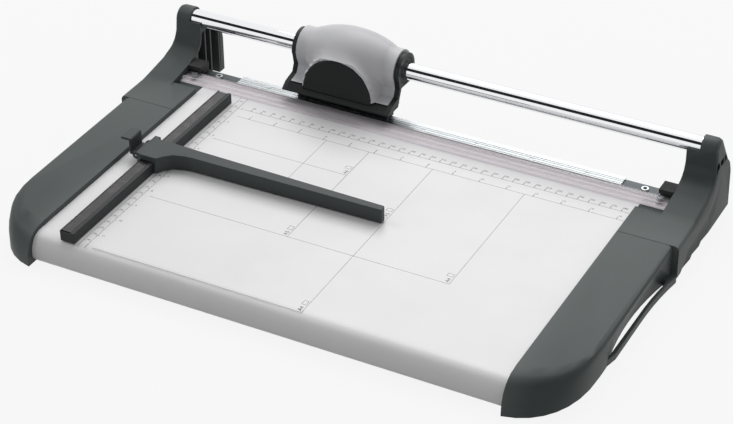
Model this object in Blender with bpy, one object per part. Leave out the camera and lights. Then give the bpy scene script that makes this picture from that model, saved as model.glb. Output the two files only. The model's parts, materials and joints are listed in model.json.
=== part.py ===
"""Rotary paper trimmer: a flat bed with a rail along its back, on which a head carries a round blade.

Lengths are metres. Places are measured from the cutting line: Y is 0 at the fixed blade's rear edge and grows
to the back, Z is 0 at the top of the bed, and X is 0 half way between the two sides, which mirror each other.
"""

import math

import bmesh
import bpy
from mathutils import Matrix, Vector

# Clearance between pieces that touch, and how far a cut runs past a face
GAP = 0.0003
OVERRUN = 0.003

# Facets of round shapes
ROUND_SIDES = 32
SCREW_SIDES = 8
BOSS_SIDES = 16
NUT_SIDES = 6
CURVE_STEPS = 7

# Whole object, from the cutting line and from the floor
FRONT_REACH = 0.3135
REAR_REACH = 0.0457
BED_HEIGHT = 0.0270
COVER_LIFT = 0.0010

# Bed: one pressed sheet whose front edge rolls down to the floor
BED_HALF = 0.2159
BED_SETBACK = 0.0060
SHEET = 0.0016
NOSE_REACH = 0.0155
NOSE_DROP = 0.0185
NOSE_POWER = 2.4
NOSE_CURL = 0.0085
NOSE_CURL_DROP = 0.0070
REAR_FLANGE = 0.0110
CHANNEL_REAR = 0.0900
CHANNEL_SETBACK = 0.0835
CHANNEL_WIDTH = 0.0240
CHANNEL_DEPTH = 0.0140
CHANNEL_SHEET = 0.0015
NUT_RADIUS = 0.0040
NUT_DEPTH = 0.0034

# Bar along the rear edge of the bed, an upside-down channel
BAR_FRONT = 0.0190
BAR_REAR = 0.0014
BAR_TOP = 0.0030
BAR_LEG = 0.0025
BAR_DEPTH = 0.0120
BAR_SCREW_IN = 0.0285
BAR_SCREW_Y = 0.0095
BAR_SCREW_RADIUS = 0.0019
BAR_SCREW_HEAD = 0.0034
BAR_SCREW_HEAD_HEIGHT = 0.0017
BAR_SCREW_SOCKET = 0.0018
BAR_SCREW_LENGTH = 0.0070

# Fixed blade, a grooved steel strip that overhangs the bar
STRIP_END = 0.0252
STRIP_WIDTH = 0.0130
STRIP_THICK = 0.0012
STRIP_PROUD = 0.0010
GROOVE_PLACES = (0.0053, 0.0078, 0.0112)
GROOVE_WIDTH = 0.0007
GROOVE_DEPTH = 0.0003
STRIP_SCREW_PITCH = 0.0528
STRIP_SCREWS_A_SIDE = 3
STRIP_SCREW_Y = 0.0095
STRIP_SCREW_HEAD = 0.0015
STRIP_SCREW_RADIUS = 0.0008
STRIP_SCREW_LENGTH = 0.0030
STRIP_SCREW_SUNK = 0.0002

# Rail: a tube with a plug and a screw at each end
RAIL_Y = 0.0165
RAIL_Z = 0.0411
RAIL_RADIUS = 0.0080
RAIL_WALL = 0.0016
RAIL_IN_CAP = 0.0070
PLUG_LENGTH = 0.0200
RAIL_SCREW_END = 0.0035
RAIL_SCREW_RADIUS = 0.0015
RAIL_SCREW_HEAD = 0.0029
RAIL_SCREW_HEAD_HEIGHT = 0.0020
RAIL_SCREW_REACH = 0.0020

# Side covers, front and rear, moulded with one wall thickness
WALL = 0.0022
COVER_TOP = 0.0046
SEAM_Y = 0.0850
SEAM_HALF_GAP = 0.0002
FRONT_SIDE_WIDTH = 0.0494
CORNER_IN = 0.0159
CORNER_DEPTH = 0.0785
CORNER_POWER = 2.4
CORNER_STEPS = 8
COVER_NOSE_REACH = 0.0270
COVER_NOSE_DROP = 0.0275
EDGE_RADIUS = 0.0040
SIDE_TUCK = 0.0009
FRONT_LEVEL_SHARES = (0, 0.11, 0.38, 0.64, 0.80, 0.90, 0.965, 1)
LEDGE_WIDTH = 0.0140
LEDGE_THICK = 0.0023
LEDGE_END = 0.0040
LEDGE_SETBACK = 0.0215
COVER_SCREW_REAR = 0.0640
COVER_SCREW_MIDDLE = 0.1550
COVER_SCREW_SETBACK = 0.0535
COVER_SCREW_RADIUS = 0.0020
COVER_SCREW_HEAD = 0.0055
COVER_SCREW_HEAD_HEIGHT = 0.0018

# Grip: the lower side is scooped out behind a low bow bar
GRIP_REAR = 0.0970
GRIP_SETBACK = 0.0130
GRIP_STEPS = 10
GRIP_DEPTH = 0.0068
GRIP_FULL_DEPTH_Z = 0.0180
BOW_TOP = 0.0200
BOW_REAR = 0.0910
BOW_TIP_OUT = 0.0070
BOW_OUT = 0.0016
BOW_WIDTH = 0.0027
BOW_ROOT = 0.0090
BOW_CURVE_LENGTH = 0.0660
BOW_POWER = 2.2
BOW_NOSE_SHARE = 0.8
BOW_STEPS = 5

# Posts: the rear covers sweep up round the rail's ends
POST_STAND = 0.0241
POST_WIDTH = 0.0307
POST_DRAFT = 0.085
POST_SWEEP_Y = 0.0500
POST_NECK_Y = 0.0090
POST_NECK_Z = 0.0330
POST_SWEEP_SHARES = ((0.17, 0.05), (0.39, 0.12), (0.61, 0.19), (0.71, 0.27), (0.81, 0.34), (0.87, 0.41),
                     (0.935, 0.55), (0.965, 0.69), (0.985, 0.83))
CAP_RADIUS = 0.0100
CAP_STAND = 0.0115
CAP_BACK_ANGLE = 37
POST_BACK_SHARES = ((0.63, 0.37), (0.92, 0.21), (1, 0))
POST_BACK_TOP = 0.0080
POST_BACK_TUCK = 0.0038
POST_EDGE_RADIUS = 0.0035
CLAMP_BAY_FRONT = 0.0435
RIB_PLACES = (0.0143, 0.0235, 0.0379)
RIB_THICK = 0.0020
POCKET_STEPS = 6
TONGUE_LENGTH = 0.0350
TONGUE_DEPTH = 0.0057
LOUVRE_TOP_SHARES = ((0.85, 0.70), (0.565, 0.355), (0.36, 0.31), (0.17, 0.27))
LOUVRE_FOOT_SHARES = (0.58, 0.40, 0.235, 0.06)
LOUVRE_STEPS = 5
LOUVRE_DEPTH = 0.0016
LOUVRE_LAND = 0.0008
LOUVRE_BOW = 0.0060

# Feet
FOOT_FRONT_SETBACK = 0.0515
FOOT_REAR_IN = 0.0140
FOOT_REAR_BACK = 0.0190
FOOT_RADIUS = 0.0080
FOOT_THICK = 0.0015
FOOT_STEM_RADIUS = 0.0030
FOOT_STEM = 0.0050
BOSS_RADIUS = 0.0090
REAR_BOSS_HEIGHT = 0.0120

# Clear bar that holds the paper down, and the pins it rides on
CLAMP_HALF_PLAY = 0.0005
CLAMP_REAR = 0.0134
CLAMP_FRONT = 0.0326
CLAMP_THIN = 0.0012
CLAMP_THICK = 0.0017
CLAMP_SEAT_Y = 0.0194
CLAMP_GROOVE = 0.0006
CLAMP_SLOPE_Y = 0.0235
CLAMP_RIDGE_Y = 0.0280
CLAMP_RIDGE = 0.0037
CLAMP_RIDGE_FLAT = 0.0008
CLAMP_LIFT = 0.0025
PIN_IN = 0.0100
PIN_Y = 0.0225
PIN_RADIUS = 0.0018
PIN_HEAD = 0.0030
PIN_HEAD_HEIGHT = 0.0010
PIN_STEM = 0.0040

# Blocks at the ends of the bar, which stop the head
BLOCK_LENGTH = 0.0132
BLOCK_HEIGHT = 0.0098
BLOCK_REAR = 0.0030
BLOCK_FRONT = 0.0175
BLOCK_STEP_Y = 0.0129
BLOCK_STEP_Z = 0.0056

# Fence
FENCE_IN = 0.0387
FENCE_WIDTH = 0.0134
FENCE_HEIGHT = 0.0100
FENCE_REAR = 0.0451
FENCE_SETBACK = 0.0079
FENCE_RIM = 0.0008
FENCE_RIDGE = 0.0025
FENCE_RECESS = 0.0010
INSERT_THICK = 0.0006
INSERT_END = 0.0016
FENCE_SCREW_PLACES = (0.0700, 0.2740)
FENCE_SCREW_RADIUS = 0.0015
FENCE_SCREW_HEAD = 0.0032
FENCE_SCREW_HEAD_HEIGHT = 0.0016
FENCE_SCREW_REACH = 0.0060

# Back stop: an arm with a saddle that rides on the fence
SADDLE_CLEARANCE = 0.0005
SADDLE_LEFT_WALL = 0.0040
SADDLE_TOP = 0.0150
SADDLE_LIFT = 0.0010
SADDLE_FRONT = 0.1785
SADDLE_REAR = 0.1480
SADDLE_HOOK = 0.1447
SADDLE_HOOK_BITE = 0.0010
SADDLE_CORNER_SHARE = 0.8
ARM_TIP_X = 0.0351
ARM_FRONT = 0.1614
ARM_REAR = 0.1490
ARM_TIP_FRONT = 0.1586
ARM_TIP_REAR = 0.1520
ARM_TIP_TOP = 0.0143
ARM_WALL = 0.0020
ARM_FLARE = 0.0270
ARM_FLARE_SHARES = ((0, 1), (0.14, 0.62), (0.38, 0.24), (0.74, 0.06), (1, 0))
ARM_HOLLOW_START = -0.1500

# Thumb lever that locks the saddle
LEVER_FRONT = 0.1680
LEVER_REAR = 0.1510
LEVER_PIVOT_OUT = 0.0089
LEVER_PIVOT_Z = 0.0080
LEVER_EYE = 0.0026
LEVER_THICK = 0.0020
LEVER_WALL_OUT = 0.0058
LEVER_TOP = 0.0215
LEVER_FLANGE = 0.0100
LEVER_TIP_DROP = 0.0030
LEVER_NOSE_FRONT = 0.1630
LEVER_NOSE_REAR = 0.1560
EAR_THICK = 0.0026
EAR_RADIUS = 0.0032
LEVER_PIN_RADIUS = 0.0012

# Cutting head, whose own places are measured from the rail's axis at the middle of the head
HEAD_X = -0.0840
HEAD_HALF = 0.0544
HEAD_PLATE = 0.0046
HEAD_COLLAR = 0.0165
HEAD_COLLAR_END = -60
HEAD_PINCH = (0.0133, 0.0131)
HEAD_HEEL = (0.0165, 0.0205)
HEAD_TOE = (0.0295, 0.0236)
HEAD_SKIRT_SHARES = ((0.35, 0.45), (0.78, 0.80))
FOOT_PLATE_FRONT = 0.0360
FOOT_PLATE_UNDER = 0.0295
FOOT_PLATE_EDGE = 0.0013
HEAD_SKIRT = 0.0034
BARREL_RADIUS = 0.0138
SHELL_WALL = 0.0024
DOME_RADIUS = 0.0280
DOME_HALF = 0.0400
DOME_POWER = 1.5
DRUM_RADIUS = 0.0365
DRUM_FRONT = 0.0315
SHELL_CENTRE = (0.0020, -0.0260)
SHELL_BLEND = 0.0030
SHELL_BACK_ANGLES = (-35, -12, 10, 30, 48, 64, 78, 90)
SHELL_FRONT_ANGLES = (98, 105, 112, 119, 126, 132, 137, 142, 147, 152, 158, 164, 170, 174.5)
SHELL_STATION_SHARES = (0, 0.17, 0.33, 0.47, 0.58, 0.66, 0.71, 0.755, 0.80, 0.87, 0.935, 1)
GUARD_HALF = 0.0460
GUARD_FRONT = 0.0060
GUARD_REAR = 0.0014
GUARD_RUN = 0.0006
BACK_FRONT = 0.0045
BACK_THICK = 0.0030
BACK_DROP = 0.0020
BACK_RISE = 0.0240
BAY_HALF = 0.0315
BAY_FRONT = 0.0126
SLOT_MARGIN = 0.0020
SLOT_FRONT = 0.0011
AXLE_BAY_HALF = 0.0080
AXLE_BAY_FRONT = 0.0058
AXLE_BAY_FLOOR = 0.0014

# Blade and what carries it; the blade lies behind the fixed blade's edge
BLADE_RADIUS = 0.0225
BLADE_THICK = 0.0006
BLADE_BEVEL = 0.0014
BLADE_DEPTH = 0.0030
HUB_SLEEVE = 0.0040
HUB_FRONT_RADIUS = 0.0060
HUB_FRONT_LENGTH = 0.0022
HUB_REAR_RADIUS = 0.0080
HUB_REAR_LENGTH = 0.0016
AXLE_RADIUS = 0.0020
AXLE_HEAD_RADIUS = 0.0040
AXLE_HEAD_LENGTH = 0.0028
AXLE_NUT_RADIUS = 0.0042
NUT_LENGTH = 0.0030
AXLE_TAIL = 0.0008
SPRING_RADIUS = 0.0050
SPRING_THICK = 0.0004
NUT_SEAT = 0.0052

# Half disc in front of the blade, and the head's screws and bushes
COVER_RADIUS = 0.0345
COVER_THICK = 0.0024
COVER_BASE = 0.0019
COVER_EDGE = 0.0008
COVER_STEPS = 24
POST_SCREW_X = 0.0270
POST_SCREW_RISE = 0.0035
POST_SCREW_BOSS = 0.0030
SMALL_SCREW_RADIUS = 0.0011
SMALL_SCREW_HEAD = 0.0022
SMALL_SCREW_HEAD_LENGTH = 0.0016
SMALL_SCREW_REACH = 0.0060
SHELL_SCREW_X = 0.0410
SHELL_SCREW_Z = 0.0165
SHELL_SCREW_REACH = 0.0015
BUSH_LENGTH = 0.0140
BUSH_RADIUS = 0.0106
BUSH_FLANGE = 0.0122
BUSH_FLANGE_LENGTH = 0.0016

# Sizes that follow from the ones above
FLOOR = -BED_HEIGHT
BOTTOM = FLOOR + COVER_LIFT
CUT_Y = (FRONT_REACH - REAR_REACH) / 2
BED_FRONT = FRONT_REACH - BED_SETBACK
CHANNEL_PLACES = (CHANNEL_REAR, FRONT_REACH - CHANNEL_SETBACK)
FRONT_SIDE = BED_HALF + FRONT_SIDE_WIDTH
CORNER_X = BED_HALF - CORNER_IN
CORNER_Y = FRONT_REACH - CORNER_DEPTH
LEDGE_FRONT = BED_FRONT - LEDGE_SETBACK
COVER_SCREW_PLACES = (COVER_SCREW_REAR, COVER_SCREW_MIDDLE, FRONT_REACH - COVER_SCREW_SETBACK)
GRIP_FRONT = CORNER_Y - GRIP_SETBACK
BOW_STRAIGHT_Y = GRIP_FRONT - BOW_CURVE_LENGTH
BOW_X = FRONT_SIDE + BOW_OUT
BOW_TIP_X = FRONT_SIDE + BOW_TIP_OUT
POST_INNER = BED_HALF + POST_STAND
POST_SIDE = POST_INNER + POST_WIDTH
CAP_INNER = POST_INNER + CAP_STAND
RAIL_HALF = CAP_INNER + RAIL_IN_CAP
RAIL_SCREW_X = RAIL_HALF - RAIL_SCREW_END
BAR_SCREW_X = POST_INNER - BAR_SCREW_IN
STRIP_HALF = BED_HALF - STRIP_END
TONGUE_X = POST_INNER - TONGUE_LENGTH
PIN_X = POST_INNER - PIN_IN
FOOT_FRONT = (POST_INNER, FRONT_REACH - FOOT_FRONT_SETBACK)
FOOT_REAR = (POST_INNER + FOOT_REAR_IN, -FOOT_REAR_BACK)
STRIP_SEAT = STRIP_PROUD - STRIP_THICK - GAP
LEDGE_TOP = -SHEET - GAP
LEDGE_INNER = BED_HALF - LEDGE_WIDTH
BLADE_FRONT = GAP
AXLE_Z = BLADE_RADIUS - BLADE_DEPTH
CLAMP_HALF = POST_INNER - CLAMP_HALF_PLAY
FENCE_RIGHT = FENCE_IN - BED_HALF
FENCE_LEFT = FENCE_RIGHT - FENCE_WIDTH
FENCE_FRONT = BED_FRONT - FENCE_SETBACK
SADDLE_HOOK_X = FENCE_LEFT + SADDLE_HOOK_BITE
LEVER_PIVOT_X = FENCE_LEFT - LEVER_PIVOT_OUT
LEVER_WALL_X = LEVER_PIVOT_X - LEVER_WALL_OUT
DRUM_Z = RAIL_Z - HEAD_TOE[1]
FOOT_PLATE_Z = RAIL_Z - FOOT_PLATE_UNDER


def clear_scene():
    for thing in list(bpy.data.objects):
        bpy.data.objects.remove(thing)


def paint(name, colour, roughness, metallic=0, alpha=1):
    """A material of one colour."""
    material = bpy.data.materials.new(name)
    material.use_nodes = True
    shader = material.node_tree.nodes["Principled BSDF"]
    shader.inputs["Base Color"].default_value = (*colour, 1)
    shader.inputs["Roughness"].default_value = roughness
    shader.inputs["Metallic"].default_value = metallic
    shader.inputs["Alpha"].default_value = alpha
    material.diffuse_color = (*colour, 1)
    return material


def empty(name, place, parent=None):
    holder = bpy.data.objects.new(name, None)
    holder.location = place
    holder.parent = parent
    bpy.context.scene.collection.objects.link(holder)
    return holder


def thing_of(name, body, parent, place):
    mesh = bpy.data.meshes.new(name)
    body.to_mesh(mesh)
    body.free()
    thing = bpy.data.objects.new(name, mesh)
    thing.location = place
    thing.parent = parent
    bpy.context.scene.collection.objects.link(thing)
    return thing


def piece(name, body, material, parent, place=(0, 0, 0), smooth=35):
    """One sub-part, shaded smooth across edges gentler than the angle."""
    thing = thing_of(name, body, parent, place)
    thing.data.materials.append(material)
    thing.data.shade_smooth()
    thing.data.set_sharp_from_angle(angle=math.radians(smooth))
    return thing


def boolean(thing, body, operation):
    """Joins a body to a piece, or cuts it out. The body is given in the piece's own frame."""
    label = f"{thing.name}_{operation.lower()}_{len(thing.modifiers)}"
    helper = thing_of(label, body, thing.parent, thing.location)
    helper.hide_render = True
    helper.display_type = "WIRE"
    modifier = thing.modifiers.new(label, "BOOLEAN")
    modifier.operation = operation
    modifier.solver = "EXACT"
    modifier.object = helper


def join(thing, *bodies):
    for body in bodies:
        boolean(thing, body, "UNION")


def cut(thing, *bodies):
    for body in bodies:
        boolean(thing, body, "DIFFERENCE")


def loft(rings):
    """A closed body through rings of as many points each, capped at both ends."""
    body = bmesh.new()
    loops = [[body.verts.new(point) for point in ring] for ring in rings]
    for low, high in zip(loops, loops[1:]):
        for index, corner in enumerate(low):
            body.faces.new((low[index - 1], corner, high[index], high[index - 1]))
    body.faces.new(loops[0])
    body.faces.new(loops[-1])
    bmesh.ops.recalc_face_normals(body, faces=body.faces)
    return body


def along(axis, first, second, distance):
    """A point from its place in the plane square to an axis and its distance along that axis."""
    if axis == "X":
        return (distance, first, second)
    if axis == "Y":
        return (first, distance, second)
    return (first, second, distance)


def prism(outline, axis, low, high):
    """An outline, (Y, Z), (X, Z) or (X, Y), drawn out along the third axis."""
    return loft([[along(axis, *point, end) for point in outline] for end in (low, high)])


def box(low, high):
    outline = [(low[0], low[1]), (high[0], low[1]), (high[0], high[1]), (low[0], high[1])]
    return prism(outline, "Z", low[2], high[2])


def arc(centre, radius, start, end, steps):
    """Points along an arc, angles in degrees."""
    turns = [math.radians(start + (end - start) * step / steps) for step in range(steps + 1)]
    return [(centre[0] + radius * math.cos(turn), centre[1] + radius * math.sin(turn)) for turn in turns]


def rod(axis, centre, radius, low, high, sides):
    """A round or many-sided rod along an axis, from the places of its two ends."""
    circle = arc(centre, radius, 0, 360, sides)[:-1]
    return prism(circle, axis, low, high)


def turned(axis, centre, profile, sides):
    """A ring turned about an axis, from its (radius, distance along the axis) section."""
    body = bmesh.new()
    loops = []
    for step in range(sides):
        turn = 2 * math.pi * step / sides
        loop = []
        for radius, distance in profile:
            first = centre[0] + radius * math.cos(turn)
            second = centre[1] + radius * math.sin(turn)
            loop.append(body.verts.new(along(axis, first, second, distance)))
        loops.append(loop)
    for before, loop in zip(loops[-1:] + loops[:-1], loops):
        for index, corner in enumerate(loop):
            body.faces.new((before[index - 1], before[index], corner, loop[index - 1]))
    bmesh.ops.recalc_face_normals(body, faces=body.faces)
    return body


def screw(axis, centre, under_head, direction, radius, length, head, head_length, sides=SCREW_SIDES):
    """A screw's profile turned solid: its head lies against a face, its shank runs along the direction."""
    ends = (under_head - direction * head_length, under_head, under_head + direction * length)
    rings = []
    for size, place in ((head, ends[0]), (head, ends[1]), (radius, ends[1]), (radius, ends[2])):
        circle = arc(centre, size, 0, 360, sides)[:-1]
        rings.append([along(axis, *point, place) for point in circle])
    return loft(rings)


def stepped_rod(rings, sides):
    """A solid turned about Z through (radius, height) rings."""
    return loft([[along("Z", *point, height) for point in arc((0, 0), radius, 0, 360, sides)[:-1]]
                 for radius, height in rings])


def together(bodies):
    """Several bodies that don't touch, as one."""
    whole = bmesh.new()
    for body in bodies:
        mesh = bpy.data.meshes.new("body")
        body.to_mesh(mesh)
        body.free()
        whole.from_mesh(mesh)
        bpy.data.meshes.remove(mesh)
    return whole


def handed(body, side):
    """The body as it is for side 1, and mirrored left to right for side -1."""
    if side < 0:
        bmesh.ops.scale(body, vec=Vector((side, 1, 1)), verts=body.verts)
        bmesh.ops.recalc_face_normals(body, faces=body.faces)
    return body


def offset(points, distance, closed=False):
    """The line moved to its left by a distance, with its corners kept."""
    moved = []
    count = len(points)
    for index, point in enumerate(points):
        before = Vector(points[index - 1] if closed or index else point)
        after = Vector(points[(index + 1) % count] if closed or index < count - 1 else point)
        here = Vector(point)
        normals = []
        for start, end in ((before, here), (here, after)):
            if (end - start).length > 0:
                run = (end - start).normalized()
                normals.append(Vector((-run.y, run.x)))
        normal = sum(normals, Vector((0, 0))).normalized()
        reach = distance / normal.dot(normals[0])
        moved.append(tuple(here + normal * reach))
    return moved


def strip_of(line, thickness):
    """The outline of a sheet of one thickness, whose one side follows a line."""
    return line + offset(line, thickness)[::-1]


def bulge(share, power):
    """Half the height of a superellipse of half width 1, at a share of that half width."""
    return max(0, 1 - abs(share) ** power) ** (1 / power)


def between(low, high, share):
    return low + (high - low) * share


def height_at(line, place):
    """The second value of a line at a place of its first value, which grows along it."""
    for start, end in zip(line, line[1:]):
        if start[0] <= place <= end[0]:
            share = (place - start[0]) / (end[0] - start[0]) if end[0] > start[0] else 1
            return between(start[1], end[1], share)
    return line[-1][1] if place > line[-1][0] else line[0][1]


def bed_line():
    """The sheet's upper side, from the foot of its rear flange to the curl under its nose."""
    rear = -BAR_FRONT - GAP
    start = -BED_FRONT + NOSE_REACH
    nose = []
    for step in range(CURVE_STEPS + 1):
        turn = math.radians(90) * step / CURVE_STEPS
        reach = math.sin(turn) ** (2 / NOSE_POWER)
        rise = math.cos(turn) ** (2 / NOSE_POWER)
        nose.append((start - NOSE_REACH * reach, -NOSE_DROP + NOSE_DROP * rise))
    curl = []
    for step in range(1, CURVE_STEPS):
        turn = math.radians(90) * step / (CURVE_STEPS - 1)
        back = NOSE_CURL * (1 - math.cos(turn))
        curl.append((-BED_FRONT + back, -NOSE_DROP - NOSE_CURL_DROP * math.sin(turn)))
    return [(rear, -REAR_FLANGE), (rear, 0)] + nose + curl


def bed_pieces(root, paints):
    """The sheet with its weld nuts, and the two channels under it."""
    half = BED_HALF - GAP
    bed = piece("table", prism(strip_of(bed_line(), SHEET), "X", -half, half), paints["white"], root)
    for side in (-1, 1):
        for place in COVER_SCREW_PLACES:
            centre = (side * (BED_HALF - LEDGE_WIDTH / 2), -place)
            join(bed, rod("Z", centre, NUT_RADIUS, -SHEET - NUT_DEPTH, -SHEET / 2, SCREW_SIDES))
            cut(bed, rod("Z", centre, COVER_SCREW_RADIUS + GAP, -SHEET - NUT_DEPTH - OVERRUN, -SHEET,
                         SCREW_SIDES))
    fence_middle = FENCE_RIGHT - FENCE_WIDTH / 2
    radius = FENCE_SCREW_RADIUS + GAP
    holes = [rod("Z", (fence_middle, -place), radius, -SHEET - OVERRUN, OVERRUN, SCREW_SIDES)
             for place in FENCE_SCREW_PLACES]
    cut(bed, together(holes))
    for name, place in zip(("table_channel_rear", "table_channel_front"), CHANNEL_PLACES):
        near = -place + CHANNEL_WIDTH / 2
        far = -place - CHANNEL_WIDTH / 2
        top = LEDGE_TOP
        line = [(near, top - CHANNEL_DEPTH), (near, top), (far, top), (far, top - CHANNEL_DEPTH)]
        length = LEDGE_INNER - GAP
        piece(name, prism(strip_of(line, CHANNEL_SHEET), "X", -length, length), paints["zinc"], root)


def bar_pieces(root, paints):
    """The bar behind the bed, the fixed blade on it, and their screws."""
    seat_front = -STRIP_WIDTH - GAP
    outline = [(-BAR_FRONT, 0), (seat_front, 0), (seat_front, STRIP_SEAT), (-BAR_REAR, STRIP_SEAT),
               (-BAR_REAR, -BAR_DEPTH), (-BAR_REAR - BAR_LEG, -BAR_DEPTH), (-BAR_REAR - BAR_LEG, -BAR_TOP),
               (-BAR_FRONT + BAR_LEG, -BAR_TOP), (-BAR_FRONT + BAR_LEG, -BAR_DEPTH), (-BAR_FRONT, -BAR_DEPTH)]
    half = POST_INNER - GAP
    bar = piece("bed_bar", prism(outline, "X", -half, half), paints["dark_metal"], root)
    bar_centres = [(side * BAR_SCREW_X, -BAR_SCREW_Y) for side in (-1, 1)]
    reach = range(-STRIP_SCREWS_A_SIDE, STRIP_SCREWS_A_SIDE + 1)
    strip_centres = [(step * STRIP_SCREW_PITCH, -STRIP_SCREW_Y) for step in reach]
    sizes = [(centre, BAR_SCREW_RADIUS) for centre in bar_centres]
    sizes += [(centre, STRIP_SCREW_RADIUS) for centre in strip_centres]
    cut(bar, together([rod("Z", centre, radius + GAP, -BAR_TOP - OVERRUN, OVERRUN, SCREW_SIDES)
                       for centre, radius in sizes]))

    top = [(0, STRIP_PROUD)]
    edge = GROOVE_WIDTH / 2
    for place in GROOVE_PLACES:
        low = STRIP_PROUD - GROOVE_DEPTH
        top += [(-place + edge, STRIP_PROUD), (-place, low), (-place - edge, STRIP_PROUD)]
    under = STRIP_PROUD - STRIP_THICK
    outline = top + [(-STRIP_WIDTH, STRIP_PROUD), (-STRIP_WIDTH, under), (0, under)]
    strip = piece("counter_blade", prism(outline, "X", -STRIP_HALF, STRIP_HALF), paints["steel"], root)
    cut(strip, together([rod("Z", centre, STRIP_SCREW_HEAD + GAP, under - OVERRUN, STRIP_PROUD + OVERRUN,
                             SCREW_SIDES) for centre in strip_centres]))
    head_length = STRIP_PROUD - STRIP_SCREW_SUNK - (STRIP_SEAT + GAP)
    for index, (x, y) in enumerate(strip_centres):
        body = screw("Z", (0, 0), 0, -1, STRIP_SCREW_RADIUS, STRIP_SCREW_LENGTH, STRIP_SCREW_HEAD,
                     head_length)
        piece(f"counter_blade_screw_{index + 1}", body, paints["steel"], root, (x, y, STRIP_SEAT + GAP))

    rings = [(BAR_SCREW_RADIUS, -BAR_SCREW_LENGTH), (BAR_SCREW_RADIUS, 0), (BAR_SCREW_HEAD, 0),
             (BAR_SCREW_HEAD, BAR_SCREW_HEAD_HEIGHT), (BAR_SCREW_SOCKET, BAR_SCREW_HEAD_HEIGHT),
             (BAR_SCREW_SOCKET, GAP)]
    for hand, (x, y) in zip(("left", "right"), bar_centres):
        piece(f"bed_bar_screw_{hand}", stepped_rod(rings, BOSS_SIDES), paints["steel"], root,
              (x, y, STRIP_SEAT + GAP))


def block_pieces(root, paints):
    """The black blocks on the ends of the bar."""
    outline = [(-BLOCK_REAR, GAP), (-BLOCK_REAR, BLOCK_HEIGHT), (-BLOCK_FRONT, BLOCK_HEIGHT),
               (-BLOCK_FRONT, BLOCK_STEP_Z), (-BLOCK_STEP_Y, BLOCK_STEP_Z), (-BLOCK_STEP_Y, GAP)]
    for name, side in (("bed_end_block_left", -1), ("bed_end_block_right", 1)):
        outer = POST_INNER - GAP
        body = handed(prism(outline, "X", outer - BLOCK_LENGTH, outer), side)
        piece(name, body, paints["rubber"], root)


def front_outline(level, inset, inner_inset):
    """The front cover in plan at a height, pulled in all round by an inset."""
    rise = (level + COVER_NOSE_DROP - COVER_TOP) / COVER_NOSE_DROP
    nose = COVER_NOSE_REACH * (1 - bulge(min(1, max(0, rise)), CORNER_POWER))
    over = max(0, level - COVER_TOP + EDGE_RADIUS)
    edge = EDGE_RADIUS - math.sqrt(max(0, EDGE_RADIUS ** 2 - over ** 2))
    tuck = SIDE_TUCK * max(0, -level) / BED_HEIGHT
    side = FRONT_SIDE - edge - tuck - inset
    width = side - CORNER_X
    inner = BED_HALF + inner_inset
    depth = (FRONT_REACH - CORNER_Y - nose - inset) / bulge((BED_HALF - CORNER_X) / width, CORNER_POWER)
    start = math.acos(min(1, ((inner - CORNER_X) / width) ** (CORNER_POWER / 2)))
    rear = -SEAM_Y - SEAM_HALF_GAP - inner_inset
    points = [(inner, rear)]
    for step in range(CORNER_STEPS + 1):
        turn = start * (1 - step / CORNER_STEPS)
        x = CORNER_X + width * math.cos(turn) ** (2 / CORNER_POWER)
        y = -CORNER_Y - depth * math.sin(turn) ** (2 / CORNER_POWER)
        points.append((x, y))
    full = min(1, max(0, -level) / GRIP_FULL_DEPTH_Z)
    for step in range(GRIP_STEPS + 1):
        share = step / GRIP_STEPS
        scoop = GRIP_DEPTH * full * (1 - (2 * share - 1) ** 2)
        points.append((side - scoop, between(-GRIP_FRONT, -GRIP_REAR, share)))
    return points + [(side, rear)]


def bow_outline():
    """The low bow bar of the grip in plan."""
    swell = BOW_TIP_X - BOW_X
    outer = []
    for step in range(BOW_STEPS + 1):
        share = step / BOW_STEPS
        y = between(-BOW_REAR, -BOW_STRAIGHT_Y, share)
        outer.append((BOW_X + swell * (1 - share) ** BOW_POWER, y))
    inner = [(x - BOW_WIDTH, y) for x, y in outer[1:]]
    root = FRONT_SIDE - WALL + GAP
    front = -GRIP_FRONT
    inner_rear = [(outer[0][0] - 2 * BOW_WIDTH, -BOW_REAR - BOW_ROOT), (root, -BOW_REAR - BOW_ROOT),
                  (root, -BOW_REAR)]
    nose = [(BOW_X, between(-BOW_STRAIGHT_Y, front, BOW_NOSE_SHARE)), (root, front - BOW_WIDTH)]
    nose_inner = [(root, front + BOW_WIDTH)]
    return outer + nose + nose_inner + inner[::-1] + inner_rear


def stem_hole(centre):
    """The blind hole in a boss that takes a foot's stem."""
    top = FLOOR + FOOT_THICK + FOOT_STEM + 2 * GAP
    return rod("Z", centre, FOOT_STEM_RADIUS + GAP, FLOOR, top, SCREW_SIDES)


def ledge_hole(place):
    """The hole in a cover's ledge that clears one of the bed's weld nuts."""
    low = LEDGE_TOP - LEDGE_THICK - OVERRUN
    return rod("Z", (BED_HALF - LEDGE_WIDTH / 2, -place), NUT_RADIUS + GAP, low, LEDGE_TOP + GAP, SCREW_SIDES)


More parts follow.
